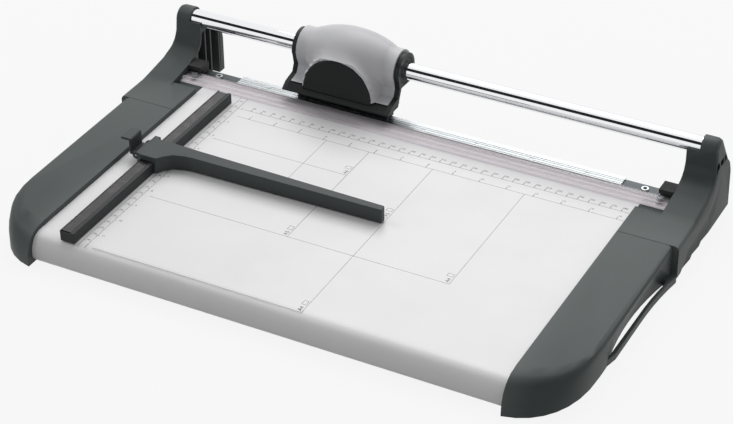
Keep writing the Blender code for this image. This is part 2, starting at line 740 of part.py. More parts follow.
def front_covers(root, paints):
    """The front side covers: shells with a rolled front, a grip, a ledge under the bed and a foot's boss."""
    for name, side in (("front_cheek_left", -1), ("front_cheek_right", 1)):
        levels = [between(BOTTOM, COVER_TOP, share) for share in FRONT_LEVEL_SHARES]
        rings = [[(*point, level) for point in front_outline(level, 0, 0)] for level in levels]
        cover = piece(name, handed(loft(rings), side), paints["cover"], root)
        inner_levels = [level - WALL for level in levels]
        inner_levels[0] = BOTTOM - OVERRUN
        rings = [[(*point, low) for point in front_outline(max(level, BOTTOM), WALL, WALL)]
                 for level, low in zip(levels, inner_levels)]
        cut(cover, handed(loft(rings), side))
        ledge = box((LEDGE_INNER, -LEDGE_FRONT, LEDGE_TOP - LEDGE_THICK),
                    (BED_HALF + WALL / 2, -SEAM_Y - LEDGE_END, LEDGE_TOP))
        join(cover, handed(ledge, side))
        bow = prism(bow_outline(), "Z", BOTTOM, -BOW_TOP)
        join(cover, handed(bow, side))
        centre = (FOOT_FRONT[0], -FOOT_FRONT[1])
        boss = rod("Z", centre, BOSS_RADIUS, FLOOR + FOOT_THICK + GAP, COVER_TOP - WALL / 2, BOSS_SIDES)
        join(cover, handed(boss, side))
        nuts = [ledge_hole(place) for place in COVER_SCREW_PLACES[1:]]
        cut(cover, handed(together([stem_hole(centre)] + nuts), side))


def post_line():
    """The rear cover's upper edge seen from the side, from the seam over the rail and down the back."""
    reach = RAIL_Y + POST_SWEEP_Y - POST_NECK_Y
    rise = POST_NECK_Z - COVER_TOP
    sweep = [(-POST_SWEEP_Y + reach * across, COVER_TOP + rise * up) for across, up in POST_SWEEP_SHARES]
    front = -SEAM_Y + SEAM_HALF_GAP
    cap = arc((RAIL_Y, RAIL_Z), CAP_RADIUS, 180, CAP_BACK_ANGLE, CURVE_STEPS)
    back_width = REAR_REACH - cap[-1][0]
    back_drop = cap[-1][1] - POST_BACK_TOP
    back = [(cap[-1][0] + back_width * across, POST_BACK_TOP + back_drop * up)
            for across, up in POST_BACK_SHARES]
    return [(front, COVER_TOP), (-POST_SWEEP_Y, COVER_TOP)] + sweep + cap + back


def post_ring(distance, inset, tuck):
    """The rear cover's outline at a distance from the middle, pulled in and with its back drawn forward."""
    line = post_line()
    if inset > 0:
        line = offset(line, -inset)
    ring = []
    for y, z in [(line[0][0], BOTTOM)] + line + [(line[-1][0], BOTTOM)]:
        back = max(0, (y - RAIL_Y) / (REAR_REACH - RAIL_Y))
        draft = POST_DRAFT * max(0, z) if distance > POST_INNER else 0
        ring.append((distance - draft, y - tuck * back, z))
    return ring


def ceiling_outline(low, high, limit):
    """A pocket in the rear cover seen from the side: it follows the cover's upper edge one wall below it."""
    line = post_line()
    outline = [(low, BOTTOM - OVERRUN)]
    for step in range(POCKET_STEPS + 1):
        place = between(low, high, step / POCKET_STEPS)
        lowest = min(height_at(line, spot) for spot in (place - WALL, place, place + WALL))
        outline.append((place, min(limit, lowest - WALL)))
    return outline + [(high, BOTTOM - OVERRUN)]


def post_pockets():
    """The hollows that leave the rear cover's walls and ribs, each an outline, its inner side and its top."""
    outer = POST_SIDE - WALL
    rail_floor = RAIL_Z - RAIL_RADIUS - WALL
    bay_front = -CLAMP_BAY_FRONT - WALL
    pockets = [(ceiling_outline(-SEAM_Y + WALL, bay_front, COVER_TOP), BED_HALF + WALL, outer)]
    pockets.append((ceiling_outline(-CLAMP_BAY_FRONT + WALL, -BAR_FRONT - WALL, -WALL), BED_HALF + WALL,
                    POST_INNER - WALL))
    pockets.append((ceiling_outline(-BAR_FRONT + WALL, -BAR_REAR - WALL, -BAR_DEPTH - WALL), BED_HALF + WALL,
                    POST_INNER - WALL))
    pockets.append((ceiling_outline(-CLAMP_BAY_FRONT + WALL, -BAR_REAR - WALL, rail_floor), POST_INNER + WALL,
                    outer))
    edges = [-BAR_REAR + WALL]
    for place in RIB_PLACES:
        edges += [place - RIB_THICK / 2, place + RIB_THICK / 2]
    edges.append(REAR_REACH - POST_BACK_TUCK - WALL)
    for low, high in zip(edges[::2], edges[1::2]):
        pockets.append((ceiling_outline(low, high, rail_floor), POST_INNER - OVERRUN, outer))
    return pockets


def louvre(top, foot, next_top, next_foot):
    """A wedge cut in the outer wall: flush along one slanted line, and a step deep along the next."""
    rings = []
    for step in range(LOUVRE_STEPS + 1):
        share = step / LOUVRE_STEPS
        bow = LOUVRE_BOW * (1 - (2 * share - 1) ** 2)
        ring = []
        for (start_y, start_z), end_y, depth in ((top, foot, 0), (next_top, next_foot, LOUVRE_DEPTH)):
            y = between(start_y, end_y, share) + bow
            z = between(start_z, BOTTOM - GAP, share)
            wall = POST_SIDE - POST_DRAFT * max(0, z)
            ring.append(((wall - depth * min(1, 2 * share), y, z), (POST_SIDE + OVERRUN, y, z)))
        rings.append([ring[0][0], ring[1][0], ring[1][1], ring[0][1]])
    return loft(rings)


def louvres():
    """One wedge between each slanted line of the outer wall and the next."""
    depth = SEAM_Y + REAR_REACH
    height = RAIL_Z - BOTTOM
    tops = [(-SEAM_Y + depth * across, BOTTOM + height * up) for across, up in LOUVRE_TOP_SHARES]
    feet = [-SEAM_Y + depth * across for across in LOUVRE_FOOT_SHARES]
    cuts = []
    for index in range(len(tops) - 1):
        start = (tops[index][0] - LOUVRE_LAND, tops[index][1])
        cuts.append(louvre(start, feet[index] - LOUVRE_LAND, tops[index + 1], feet[index + 1]))
    return cuts


def rear_covers(root, paints):
    """The rear side covers: the base, the post that holds the rail's end, its ribs, pockets and louvres."""
    front = -SEAM_Y + SEAM_HALF_GAP
    bar_low = -BAR_DEPTH - GAP
    bay = [(front, BOTTOM), (front, COVER_TOP), (-CLAMP_BAY_FRONT, COVER_TOP), (-CLAMP_BAY_FRONT, 0),
           (-BAR_FRONT - GAP, 0), (-BAR_FRONT - GAP, bar_low), (-BAR_REAR + GAP, bar_low),
           (-BAR_REAR + GAP, BOTTOM)]
    radius = POST_EDGE_RADIUS
    cut_back = radius * (1 - math.sqrt(1 / 2))
    tuck = POST_BACK_TUCK / 4
    sections = [(POST_INNER, 0, 0), (POST_SIDE - 2 * radius, 0, 0), (POST_SIDE - radius, 0, tuck),
                (POST_SIDE - cut_back, cut_back, 2 * tuck), (POST_SIDE, radius, 3 * tuck)]
    for name, side in (("rear_cheek_left", -1), ("rear_cheek_right", 1)):
        rings = [post_ring(*section) for section in sections]
        cover = piece(name, handed(loft(rings), side), paints["cover"], root)
        join(cover, handed(prism(bay, "X", BED_HALF, POST_INNER + WALL / 2), side))
        for outline, inner, outer in post_pockets():
            cut(cover, handed(prism(outline, "X", inner, outer), side))
        for body in louvres():
            cut(cover, handed(body, side))
        ledge = box((LEDGE_INNER, -SEAM_Y + LEDGE_END, LEDGE_TOP - LEDGE_THICK),
                    (BED_HALF + WALL / 2, -CLAMP_BAY_FRONT - GAP, LEDGE_TOP))
        tongue_top = -BAR_TOP - GAP
        tongue = box((TONGUE_X, -BAR_FRONT + BAR_LEG + GAP, tongue_top - TONGUE_DEPTH),
                     (POST_INNER + WALL / 2, -BAR_REAR - BAR_LEG - GAP, tongue_top))
        centre = (FOOT_REAR[0], -FOOT_REAR[1])
        boss = rod("Z", centre, BOSS_RADIUS, FLOOR + FOOT_THICK + GAP, FLOOR + REAR_BOSS_HEIGHT, BOSS_SIDES)
        join(cover, handed(ledge, side), handed(tongue, side), handed(boss, side))
        rail_hole = rod("X", (RAIL_Y, RAIL_Z), RAIL_RADIUS + GAP, POST_INNER - OVERRUN, RAIL_HALF + GAP,
                        ROUND_SIDES)
        notch = box((POST_INNER - OVERRUN, 0, RAIL_Z), (CAP_INNER, REAR_REACH, RAIL_Z + OVERRUN + CAP_RADIUS))
        cut(cover, handed(rail_hole, side), handed(notch, side))
        hole = stem_hole(centre)
        nut = ledge_hole(COVER_SCREW_PLACES[0])
        bar_screw = rod("Z", (BAR_SCREW_X, -BAR_SCREW_Y), BAR_SCREW_RADIUS + GAP,
                        tongue_top - TONGUE_DEPTH - OVERRUN, tongue_top + GAP, SCREW_SIDES)
        pin = rod("Z", (PIN_X, -PIN_Y), PIN_RADIUS - GAP, -WALL - OVERRUN, OVERRUN, SCREW_SIDES)
        rail_floor = RAIL_Z - RAIL_RADIUS - WALL
        rail_screw = rod("Z", (RAIL_SCREW_X, RAIL_Y), RAIL_SCREW_RADIUS + GAP, rail_floor - OVERRUN / 2, RAIL_Z,
                         SCREW_SIDES)
        head_room = rod("Z", (RAIL_SCREW_X, RAIL_Y), RAIL_SCREW_HEAD + 2 * GAP, 0, rail_floor, SCREW_SIDES)
        foot_room = rod("Z", centre, FOOT_RADIUS + GAP, FLOOR, FLOOR + FOOT_THICK + GAP, BOSS_SIDES)
        cut(cover, handed(together([hole, nut, bar_screw, pin, rail_screw]), side), handed(head_room, side),
            handed(foot_room, side))


def cover_screws(root, paints):
    """The screws that tie the side covers to the bed, from below."""
    under = min(LEDGE_TOP - LEDGE_THICK, -SHEET - NUT_DEPTH) - GAP
    for hand, side in (("left", -1), ("right", 1)):
        for index, place in enumerate(COVER_SCREW_PLACES):
            body = screw("Z", (0, 0), 0, 1, COVER_SCREW_RADIUS, -SHEET - GAP - under, COVER_SCREW_HEAD,
                         COVER_SCREW_HEAD_HEIGHT)
            piece(f"cheek_screw_{hand}_{index + 1}", body, paints["zinc"], root,
                  (side * (BED_HALF - LEDGE_WIDTH / 2), -place, under))


def feet(root, paints):
    for end, (x, y) in (("front", FOOT_FRONT), ("rear", FOOT_REAR)):
        for hand, side in (("left", -1), ("right", 1)):
            place = (side * x, -y, FLOOR)
            stem = FOOT_THICK + FOOT_STEM
            rings = [(FOOT_RADIUS - GAP, 0), (FOOT_RADIUS, GAP), (FOOT_RADIUS, FOOT_THICK),
                     (FOOT_STEM_RADIUS, FOOT_THICK), (FOOT_STEM_RADIUS, stem)]
            piece(f"foot_{end}_{hand}", stepped_rod(rings, BOSS_SIDES), paints["rubber"], root, place)


def rail_pieces(root, paints):
    """The chromed tube, its plugs and the screws that hold them in the posts."""
    inner = RAIL_RADIUS - RAIL_WALL
    profile = [(inner, -RAIL_HALF), (RAIL_RADIUS, -RAIL_HALF), (RAIL_RADIUS, RAIL_HALF), (inner, RAIL_HALF)]
    rail = piece("guide_rail", turned("X", (0, 0), profile, ROUND_SIDES), paints["chrome"], root,
                 (0, RAIL_Y, RAIL_Z))
    holes = [rod("Z", (side * RAIL_SCREW_X, 0), RAIL_SCREW_RADIUS + GAP, -RAIL_RADIUS - OVERRUN, -RAIL_RADIUS / 2,
                 SCREW_SIDES) for side in (-1, 1)]
    cut(rail, together(holes))
    under = -RAIL_RADIUS - WALL - GAP
    for hand, side in (("left", -1), ("right", 1)):
        body = handed(rod("X", (0, 0), inner - GAP, RAIL_HALF - PLUG_LENGTH, RAIL_HALF, BOSS_SIDES), side)
        plug = piece(f"rail_plug_{hand}", body, paints["zinc"], root, (0, RAIL_Y, RAIL_Z))
        cut(plug, rod("Z", (side * RAIL_SCREW_X, 0), RAIL_SCREW_RADIUS + GAP, -RAIL_RADIUS,
                      RAIL_SCREW_REACH + GAP, SCREW_SIDES))
        body = screw("Z", (0, 0), 0, 1, RAIL_SCREW_RADIUS, RAIL_SCREW_REACH - under, RAIL_SCREW_HEAD,
                     RAIL_SCREW_HEAD_HEIGHT)
        piece(f"rail_screw_{hand}", body, paints["zinc"], root, (side * RAIL_SCREW_X, RAIL_Y, RAIL_Z + under))


def clamp_pieces(root, paints):
    """The clear bar and the two headed pins that it rises on."""
    thin = CLAMP_THIN
    thick = CLAMP_THICK
    outline = [(-CLAMP_FRONT, 0), (-CLAMP_FRONT, thin), (-CLAMP_RIDGE_Y - thin, thin),
               (-CLAMP_RIDGE_Y - CLAMP_RIDGE_FLAT, CLAMP_RIDGE), (-CLAMP_RIDGE_Y + CLAMP_RIDGE_FLAT, CLAMP_RIDGE),
               (-CLAMP_SLOPE_Y, thick), (-CLAMP_SEAT_Y - CLAMP_GROOVE, thick),
               (-CLAMP_SEAT_Y, thick - CLAMP_GROOVE), (-CLAMP_SEAT_Y + CLAMP_GROOVE, thin),
               (-CLAMP_REAR, thin), (-CLAMP_REAR, 0)]
    bar = piece("clamp_bar", prism(outline, "X", -CLAMP_HALF, CLAMP_HALF), paints["clear"], root, (0, 0, GAP))
    centres = [(side * PIN_X, -PIN_Y) for side in (-1, 1)]
    holes = [rod("Z", centre, PIN_RADIUS + GAP, -OVERRUN, CLAMP_RIDGE, SCREW_SIDES) for centre in centres]
    spot_faces = [rod("Z", centre, PIN_HEAD + 2 * GAP, thick, CLAMP_RIDGE + OVERRUN, BOSS_SIDES)
                  for centre in centres]
    cut(bar, together(holes), together(spot_faces))
    top = GAP + CLAMP_THICK + CLAMP_LIFT + GAP
    stem = PIN_RADIUS - 2 * GAP
    rings = [(stem, -PIN_STEM), (stem, GAP), (PIN_RADIUS, GAP), (PIN_RADIUS, top), (PIN_HEAD, top),
             (PIN_HEAD, top + PIN_HEAD_HEIGHT)]
    for hand, (x, y) in zip(("left", "right"), centres):
        piece(f"clamp_pin_{hand}", stepped_rod(rings, SCREW_SIDES), paints["steel"], root, (x, y, 0))


def fence_pieces(root, paints):
    """The fence, the strip in its recessed top, and the screws that hold it from under the bed."""
    left = FENCE_LEFT
    right = FENCE_RIGHT
    top = FENCE_HEIGHT
    recess = top - FENCE_RECESS
    outline = [(left, GAP), (left, top), (left + FENCE_RIM, top), (left + FENCE_RIM, recess),
               (right - FENCE_RIDGE - FENCE_RIM, recess), (right - FENCE_RIDGE - FENCE_RIM, top), (right, top),
               (right, GAP)]
    fence = piece("fence", prism(outline, "Y", -FENCE_FRONT, -FENCE_REAR), paints["black"], root)
    middle = (left + right) / 2
    holes = [rod("Z", (middle, -place), FENCE_SCREW_RADIUS + GAP, -OVERRUN, FENCE_SCREW_REACH + GAP, SCREW_SIDES)
             for place in FENCE_SCREW_PLACES]
    cut(fence, together(holes))
    insert = box((left + FENCE_RIM + GAP, -FENCE_FRONT + INSERT_END, recess + GAP),
                 (right - FENCE_RIDGE - FENCE_RIM - GAP, -FENCE_REAR - INSERT_END, recess + GAP + INSERT_THICK))
    piece("fence_insert", insert, paints["insert"], root)
    under = -SHEET - GAP
    for end, place in zip(("rear", "front"), FENCE_SCREW_PLACES):
        body = screw("Z", (0, 0), 0, 1, FENCE_SCREW_RADIUS, FENCE_SCREW_REACH - under, FENCE_SCREW_HEAD,
                     FENCE_SCREW_HEAD_HEIGHT)
        piece(f"fence_screw_{end}", body, paints["zinc"], root, (middle, -place, under))


def saddle_outline(spread):
    """The arm and its saddle in plan. The front edge flares out towards the saddle, more at its foot."""
    left = FENCE_LEFT - SADDLE_CLEARANCE - SADDLE_LEFT_WALL
    right = FENCE_RIGHT + SADDLE_CLEARANCE + ARM_WALL
    flare_y = SADDLE_FRONT - ARM_FRONT
    outline = [(left, -SADDLE_FRONT * SADDLE_CORNER_SHARE - ARM_FRONT * (1 - SADDLE_CORNER_SHARE)),
               (FENCE_LEFT, -SADDLE_FRONT + spread)]
    outline += [(right + ARM_FLARE * across, -ARM_FRONT - (flare_y - spread) * out)
                for across, out in ARM_FLARE_SHARES]
    outline += [(ARM_TIP_X - ARM_WALL / 2, -ARM_TIP_FRONT), (ARM_TIP_X, -ARM_TIP_FRONT + ARM_WALL / 2),
                (ARM_TIP_X, -ARM_TIP_REAR - ARM_WALL / 2), (ARM_TIP_X - ARM_WALL / 2, -ARM_TIP_REAR)]
    outline += [(right + ARM_FLARE, -ARM_REAR), (right, -SADDLE_REAR), (SADDLE_HOOK_X, -SADDLE_REAR),
                (SADDLE_HOOK_X, -SADDLE_HOOK), (left, -SADDLE_HOOK)]
    return outline


def stop_pieces(stop, paints):
    """The arm on its saddle, whose empty lies on the fence's middle, with the lever's ears."""
    middle = Vector((FENCE_RIGHT - FENCE_WIDTH / 2, -(LEVER_FRONT + LEVER_REAR) / 2))

    def moved(body):
        bmesh.ops.translate(body, vec=Vector((-middle.x, -middle.y, 0)), verts=body.verts)
        return body

    left = FENCE_LEFT - SADDLE_CLEARANCE - SADDLE_LEFT_WALL
    top_drop = (SADDLE_TOP - ARM_TIP_TOP) / (ARM_TIP_X - FENCE_RIGHT)
    rings = [[(x, y, SADDLE_LIFT) for x, y in saddle_outline(0)],
             [(x, y, SADDLE_TOP - top_drop * max(0, x - FENCE_RIGHT)) for x, y in saddle_outline(ARM_WALL)]]
    arm = piece("backstop_arm", moved(loft(rings)), paints["stop"], stop)
    channel = box((FENCE_LEFT - SADDLE_CLEARANCE, -SADDLE_FRONT - OVERRUN, -OVERRUN),
                  (FENCE_RIGHT + SADDLE_CLEARANCE, -SADDLE_HOOK + OVERRUN, FENCE_HEIGHT + SADDLE_CLEARANCE))
    hollow = loft([[(x, y, level) for x, y in
                    ((ARM_HOLLOW_START, -ARM_FRONT + ARM_WALL), (ARM_TIP_X - ARM_WALL, -ARM_TIP_FRONT + ARM_WALL),
                     (ARM_TIP_X - ARM_WALL, -ARM_TIP_REAR - ARM_WALL), (ARM_HOLLOW_START, -ARM_REAR - ARM_WALL))]
                   for level in (-OVERRUN, ARM_TIP_TOP - ARM_WALL)])
    window = box((left - OVERRUN, -LEVER_NOSE_FRONT - GAP, -OVERRUN),
                 (FENCE_LEFT, -LEVER_NOSE_REAR + GAP, FENCE_HEIGHT))
    cut(arm, moved(channel), moved(hollow), moved(window))
    for near, far in ((LEVER_REAR - GAP - EAR_THICK, LEVER_REAR - GAP),
                      (LEVER_FRONT + GAP, LEVER_FRONT + GAP + EAR_THICK)):
        pivot = (LEVER_PIVOT_X, LEVER_PIVOT_Z)
        nose = arc(pivot, EAR_RADIUS, 90, 270, CURVE_STEPS)
        root = left + WALL / 2
        ear = prism(nose + [(root, pivot[1] - EAR_RADIUS), (root, pivot[1] + EAR_RADIUS)], "Y", -far, -near)
        join(arm, moved(ear))
    pin_hole = rod("Y", (LEVER_PIVOT_X, LEVER_PIVOT_Z), LEVER_PIN_RADIUS + GAP / 2,
                   -LEVER_FRONT - EAR_THICK - OVERRUN, -LEVER_REAR + EAR_THICK + OVERRUN, SCREW_SIDES)
    cut(arm, moved(pin_hole))
    reach = LEVER_FRONT + EAR_THICK
    pin = rod("Y", (LEVER_PIVOT_X, LEVER_PIVOT_Z), LEVER_PIN_RADIUS - GAP / 2, -reach, -LEVER_REAR + EAR_THICK,
              SCREW_SIDES)
    piece("backstop_pin", moved(pin), paints["steel"], stop)


def lever_piece(pivot, paints):
    """The thumb lever, drawn about its pivot: an eye, a tab up and outwards, and a nose that bears on the fence."""
    wall = LEVER_WALL_X - LEVER_PIVOT_X
    top = LEVER_TOP - LEVER_PIVOT_Z
    thick = LEVER_THICK
    left = wall - thick
    foot = thick / 2
    outline = arc((0, 0), LEVER_EYE, -150, 150, CURVE_STEPS)
    outline += [(wall, foot), (wall, top - foot), (wall - foot, top), (wall - LEVER_FLANGE, top),
                (wall - LEVER_FLANGE, top - thick), (left, top - thick), (left, -foot), (left + foot, -thick)]
    front = -LEVER_FRONT + (LEVER_FRONT + LEVER_REAR) / 2
    lever = piece("backstop_lever", prism(outline, "Y", front, -front), paints["stop"], pivot)
    reach = FENCE_LEFT - GAP - LEVER_PIVOT_X
    drop = LEVER_TIP_DROP
    nose = [(0, foot), (reach, -drop + foot), (reach, -drop - foot), (0, -LEVER_EYE + GAP)]
    middle = (LEVER_FRONT + LEVER_REAR) / 2
    join(lever, prism(nose, "Y", middle - LEVER_NOSE_FRONT, middle - LEVER_NOSE_REAR))
    cut(lever, rod("Y", (0, 0), LEVER_PIN_RADIUS + GAP / 2, front - OVERRUN, -front + OVERRUN, SCREW_SIDES))


def skirt_line():
    """The head's front edge at its ends, from the collar's front down to the toe, measured from the rail's axis."""
    line = [(-HEAD_COLLAR, 0)]
    line.append((-between(HEAD_COLLAR, HEAD_PINCH[0], HEAD_SKIRT_SHARES[0][1]),
                 -HEAD_PINCH[1] * HEAD_SKIRT_SHARES[0][0]))
    line.append((-between(HEAD_COLLAR, HEAD_PINCH[0], HEAD_SKIRT_SHARES[1][1]),
                 -HEAD_PINCH[1] * HEAD_SKIRT_SHARES[1][0]))
    return line + [(-HEAD_PINCH[0], -HEAD_PINCH[1]), (-HEAD_HEEL[0], -HEAD_HEEL[1]), (-HEAD_TOE[0], -HEAD_TOE[1])]


def far_end(line, centre, run):
    """The distance from a centre to a line, along a ray."""
    found = 0
    for start, end in zip(line, line[1:]):
        first = Vector(start) - centre
        step = Vector(end) - Vector(start)
        cross = run.x * step.y - run.y * step.x
        if abs(cross) < GAP ** 2:
            continue
        share = (first.x * run.y - first.y * run.x) / cross
        distance = (first.x * step.y - first.y * step.x) / cross
        if -GAP <= share <= 1 + GAP and distance > 0:
            found = max(found, distance)
    return found


def blended(*distances):
    """The largest distance, rounded where two are nearly alike."""
    largest = max(distances)
    return largest + SHELL_BLEND * math.log(sum(math.exp((item - largest) / SHELL_BLEND) for item in distances))


def shell_reach(centre, run, x, inset, saddle):
    """How far the head's shell lies from a centre: saddle over the rail, dome on top, drum round the blade."""
    base = far_end(saddle, centre, run)
    dome_radius = between(HEAD_COLLAR, DOME_RADIUS, bulge(min(1, abs(x) / DOME_HALF), 2) ** DOME_POWER) - inset
    middle = -centre.dot(run)
    chord = dome_radius ** 2 - centre.length ** 2 + middle ** 2
    dome = middle + math.sqrt(chord) if chord > 0 else 0
    radius = DRUM_RADIUS - inset
    top = -HEAD_TOE[1] - centre.y + radius * bulge(min(1, abs(x) / radius), 2)
    front = DRUM_FRONT - inset + centre.x
    drum = min(top / run.y, -front / run.x) if run.x < 0 else 0
    return blended(base, max(dome, SHELL_WALL), max(drum, SHELL_WALL))


def shell_ring(x, inset):
    """The shell's section at a place along the rail, from behind the rail over the top to its front foot."""
    collar = arc((0, 0), HEAD_COLLAR - inset, HEAD_COLLAR_END, 180, BOSS_SIDES)
    skirt = skirt_line()
    if inset > 0:
        skirt = offset(skirt, inset)
    saddle = collar + skirt[1:]
    points = []
    for middle, angles in (((0, 0), SHELL_BACK_ANGLES), (SHELL_CENTRE, SHELL_FRONT_ANGLES)):
        for degrees in angles:
            centre = Vector(middle)
            run = Vector((math.cos(math.radians(degrees)), math.sin(math.radians(degrees))))
            points.append((x, *(centre + run * shell_reach(centre, run, x, inset, saddle))))
    floor = -HEAD_TOE[1]
    return [(px, py, max(pz, floor)) for px, py, pz in points]


def shell_body():
    """The grey shell: its outer and inner faces as one loft along the rail."""
    half = HEAD_HALF - HEAD_PLATE - GAP
    stations = [-half * share for share in SHELL_STATION_SHARES[:0:-1]] + [half * s for s in SHELL_STATION_SHARES]
    return loft([shell_ring(x, 0) + shell_ring(x, SHELL_WALL)[::-1] for x in stations])


def core_outlines():
    """The end plate and the web between the plates, both seen along the rail."""
    skirt = skirt_line()
    toe = [(-FOOT_PLATE_FRONT, -FOOT_PLATE_UNDER + FOOT_PLATE_EDGE), (-FOOT_PLATE_FRONT, -FOOT_PLATE_UNDER)]
    collar = arc((0, 0), HEAD_COLLAR, HEAD_COLLAR_END, 180, BOSS_SIDES)
    inner = offset(skirt, HEAD_SKIRT)
    heel = [(-HEAD_HEEL[0], -FOOT_PLATE_UNDER)]
    plate = collar + skirt[1:] + toe + heel + [inner[-2], inner[-3]]
    front = offset(skirt, SHELL_WALL + GAP)
    back = offset(skirt, SHELL_WALL + GAP + BACK_THICK)
    lower = -HEAD_TOE[1] - GAP
    web = [(-BARREL_RADIUS / 2, -BARREL_RADIUS / 2), front[2], front[3], (front[4][0], lower), (-HEAD_TOE[0], lower)]
    web += toe + heel + [(back[4][0] + BACK_THICK, -FOOT_PLATE_UNDER), back[4], back[3], (0, -BARREL_RADIUS / 2)]
    return plate, web


def head_core(head, paints):
    """The head's frame: a barrel on the rail, end plates, a web down to the foot, and the blade's guards."""
    plate, web = core_outlines()
    half = HEAD_HALF
    core = piece("head_core", rod("X", (0, 0), BARREL_RADIUS, -half + GAP, half - GAP, ROUND_SIDES),
                 paints["black"], head)
    join(core, prism(plate, "X", half - HEAD_PLATE, half), prism(plate, "X", -half, -half + HEAD_PLATE))
    join(core, prism(web, "X", -half + HEAD_PLATE / 2, half - HEAD_PLATE / 2))
    foot = -FOOT_PLATE_UNDER
    guard_low = STRIP_PROUD + GUARD_RUN - RAIL_Z
    guard = box((-GUARD_HALF, -RAIL_Y - GUARD_FRONT, guard_low), (GUARD_HALF, -RAIL_Y - GUARD_REAR, foot + GUARD_RUN))
    back_y = -RAIL_Y + BACK_FRONT
    back = box((-GUARD_HALF, back_y, -RAIL_Z - BACK_DROP), (GUARD_HALF, back_y + BACK_THICK, -RAIL_Z + BACK_RISE))
    join(core, guard, back)
    axle = (0, AXLE_Z - RAIL_Z)
    bay = box((-BAY_HALF, -RAIL_Y - BAY_FRONT, -HEAD_TOE[1] - GAP), (BAY_HALF, back_y, HEAD_COLLAR))
    slot_half = BLADE_RADIUS + SLOT_MARGIN
    slot = box((-slot_half, -RAIL_Y - SLOT_FRONT, guard_low - OVERRUN), (slot_half, back_y, -HEAD_TOE[1] + GAP))
    axle_bay = box((-AXLE_BAY_HALF, -RAIL_Y - AXLE_BAY_FRONT, foot + AXLE_BAY_FLOOR),
                   (AXLE_BAY_HALF, -RAIL_Y, -HEAD_TOE[1] + GAP))
    nut_seat = rod("Y", axle, NUT_SEAT, back_y + BACK_THICK, back_y + BACK_THICK + NUT_LENGTH + OVERRUN, BOSS_SIDES)
    hole_size = SMALL_SCREW_RADIUS + GAP
    far = back_y + 3 * BACK_THICK
    bores = [rod("Y", axle, AXLE_RADIUS + GAP, back_y - OVERRUN, far, SCREW_SIDES)]
    for side in (-1, 1):
        centre = (side * POST_SCREW_X, -HEAD_TOE[1] + POST_SCREW_RISE)
        bores.append(rod("Y", centre, hole_size, back_y - OVERRUN, far, SCREW_SIDES))
        centre = (side * SHELL_SCREW_X, -SHELL_SCREW_Z)
        bores.append(rod("Y", centre, hole_size, -BARREL_RADIUS, OVERRUN, SCREW_SIDES))
    seat = box((-COVER_RADIUS - GAP, -DRUM_FRONT - 2 * GAP, -HEAD_TOE[1] - COVER_BASE - GAP),
               (COVER_RADIUS + GAP, -RAIL_Y - BAY_FRONT + GAP, -HEAD_TOE[1] + GAP))
    cut(core, bay, slot, axle_bay, nut_seat, together(bores), seat)
    seats = [handed(rod("X", (0, 0), BUSH_RADIUS + GAP, half - BUSH_LENGTH - GAP, half + OVERRUN, ROUND_SIDES), side)
             for side in (-1, 1)]
    rims = [handed(rod("X", (0, 0), BUSH_FLANGE + GAP, half - BUSH_FLANGE_LENGTH - 2 * GAP, half + OVERRUN,
                       ROUND_SIDES), side) for side in (-1, 1)]
    bore = rod("X", (0, 0), RAIL_RADIUS + 2 * GAP, -half, half, ROUND_SIDES)
    cut(core, together(seats), together(rims), bore)


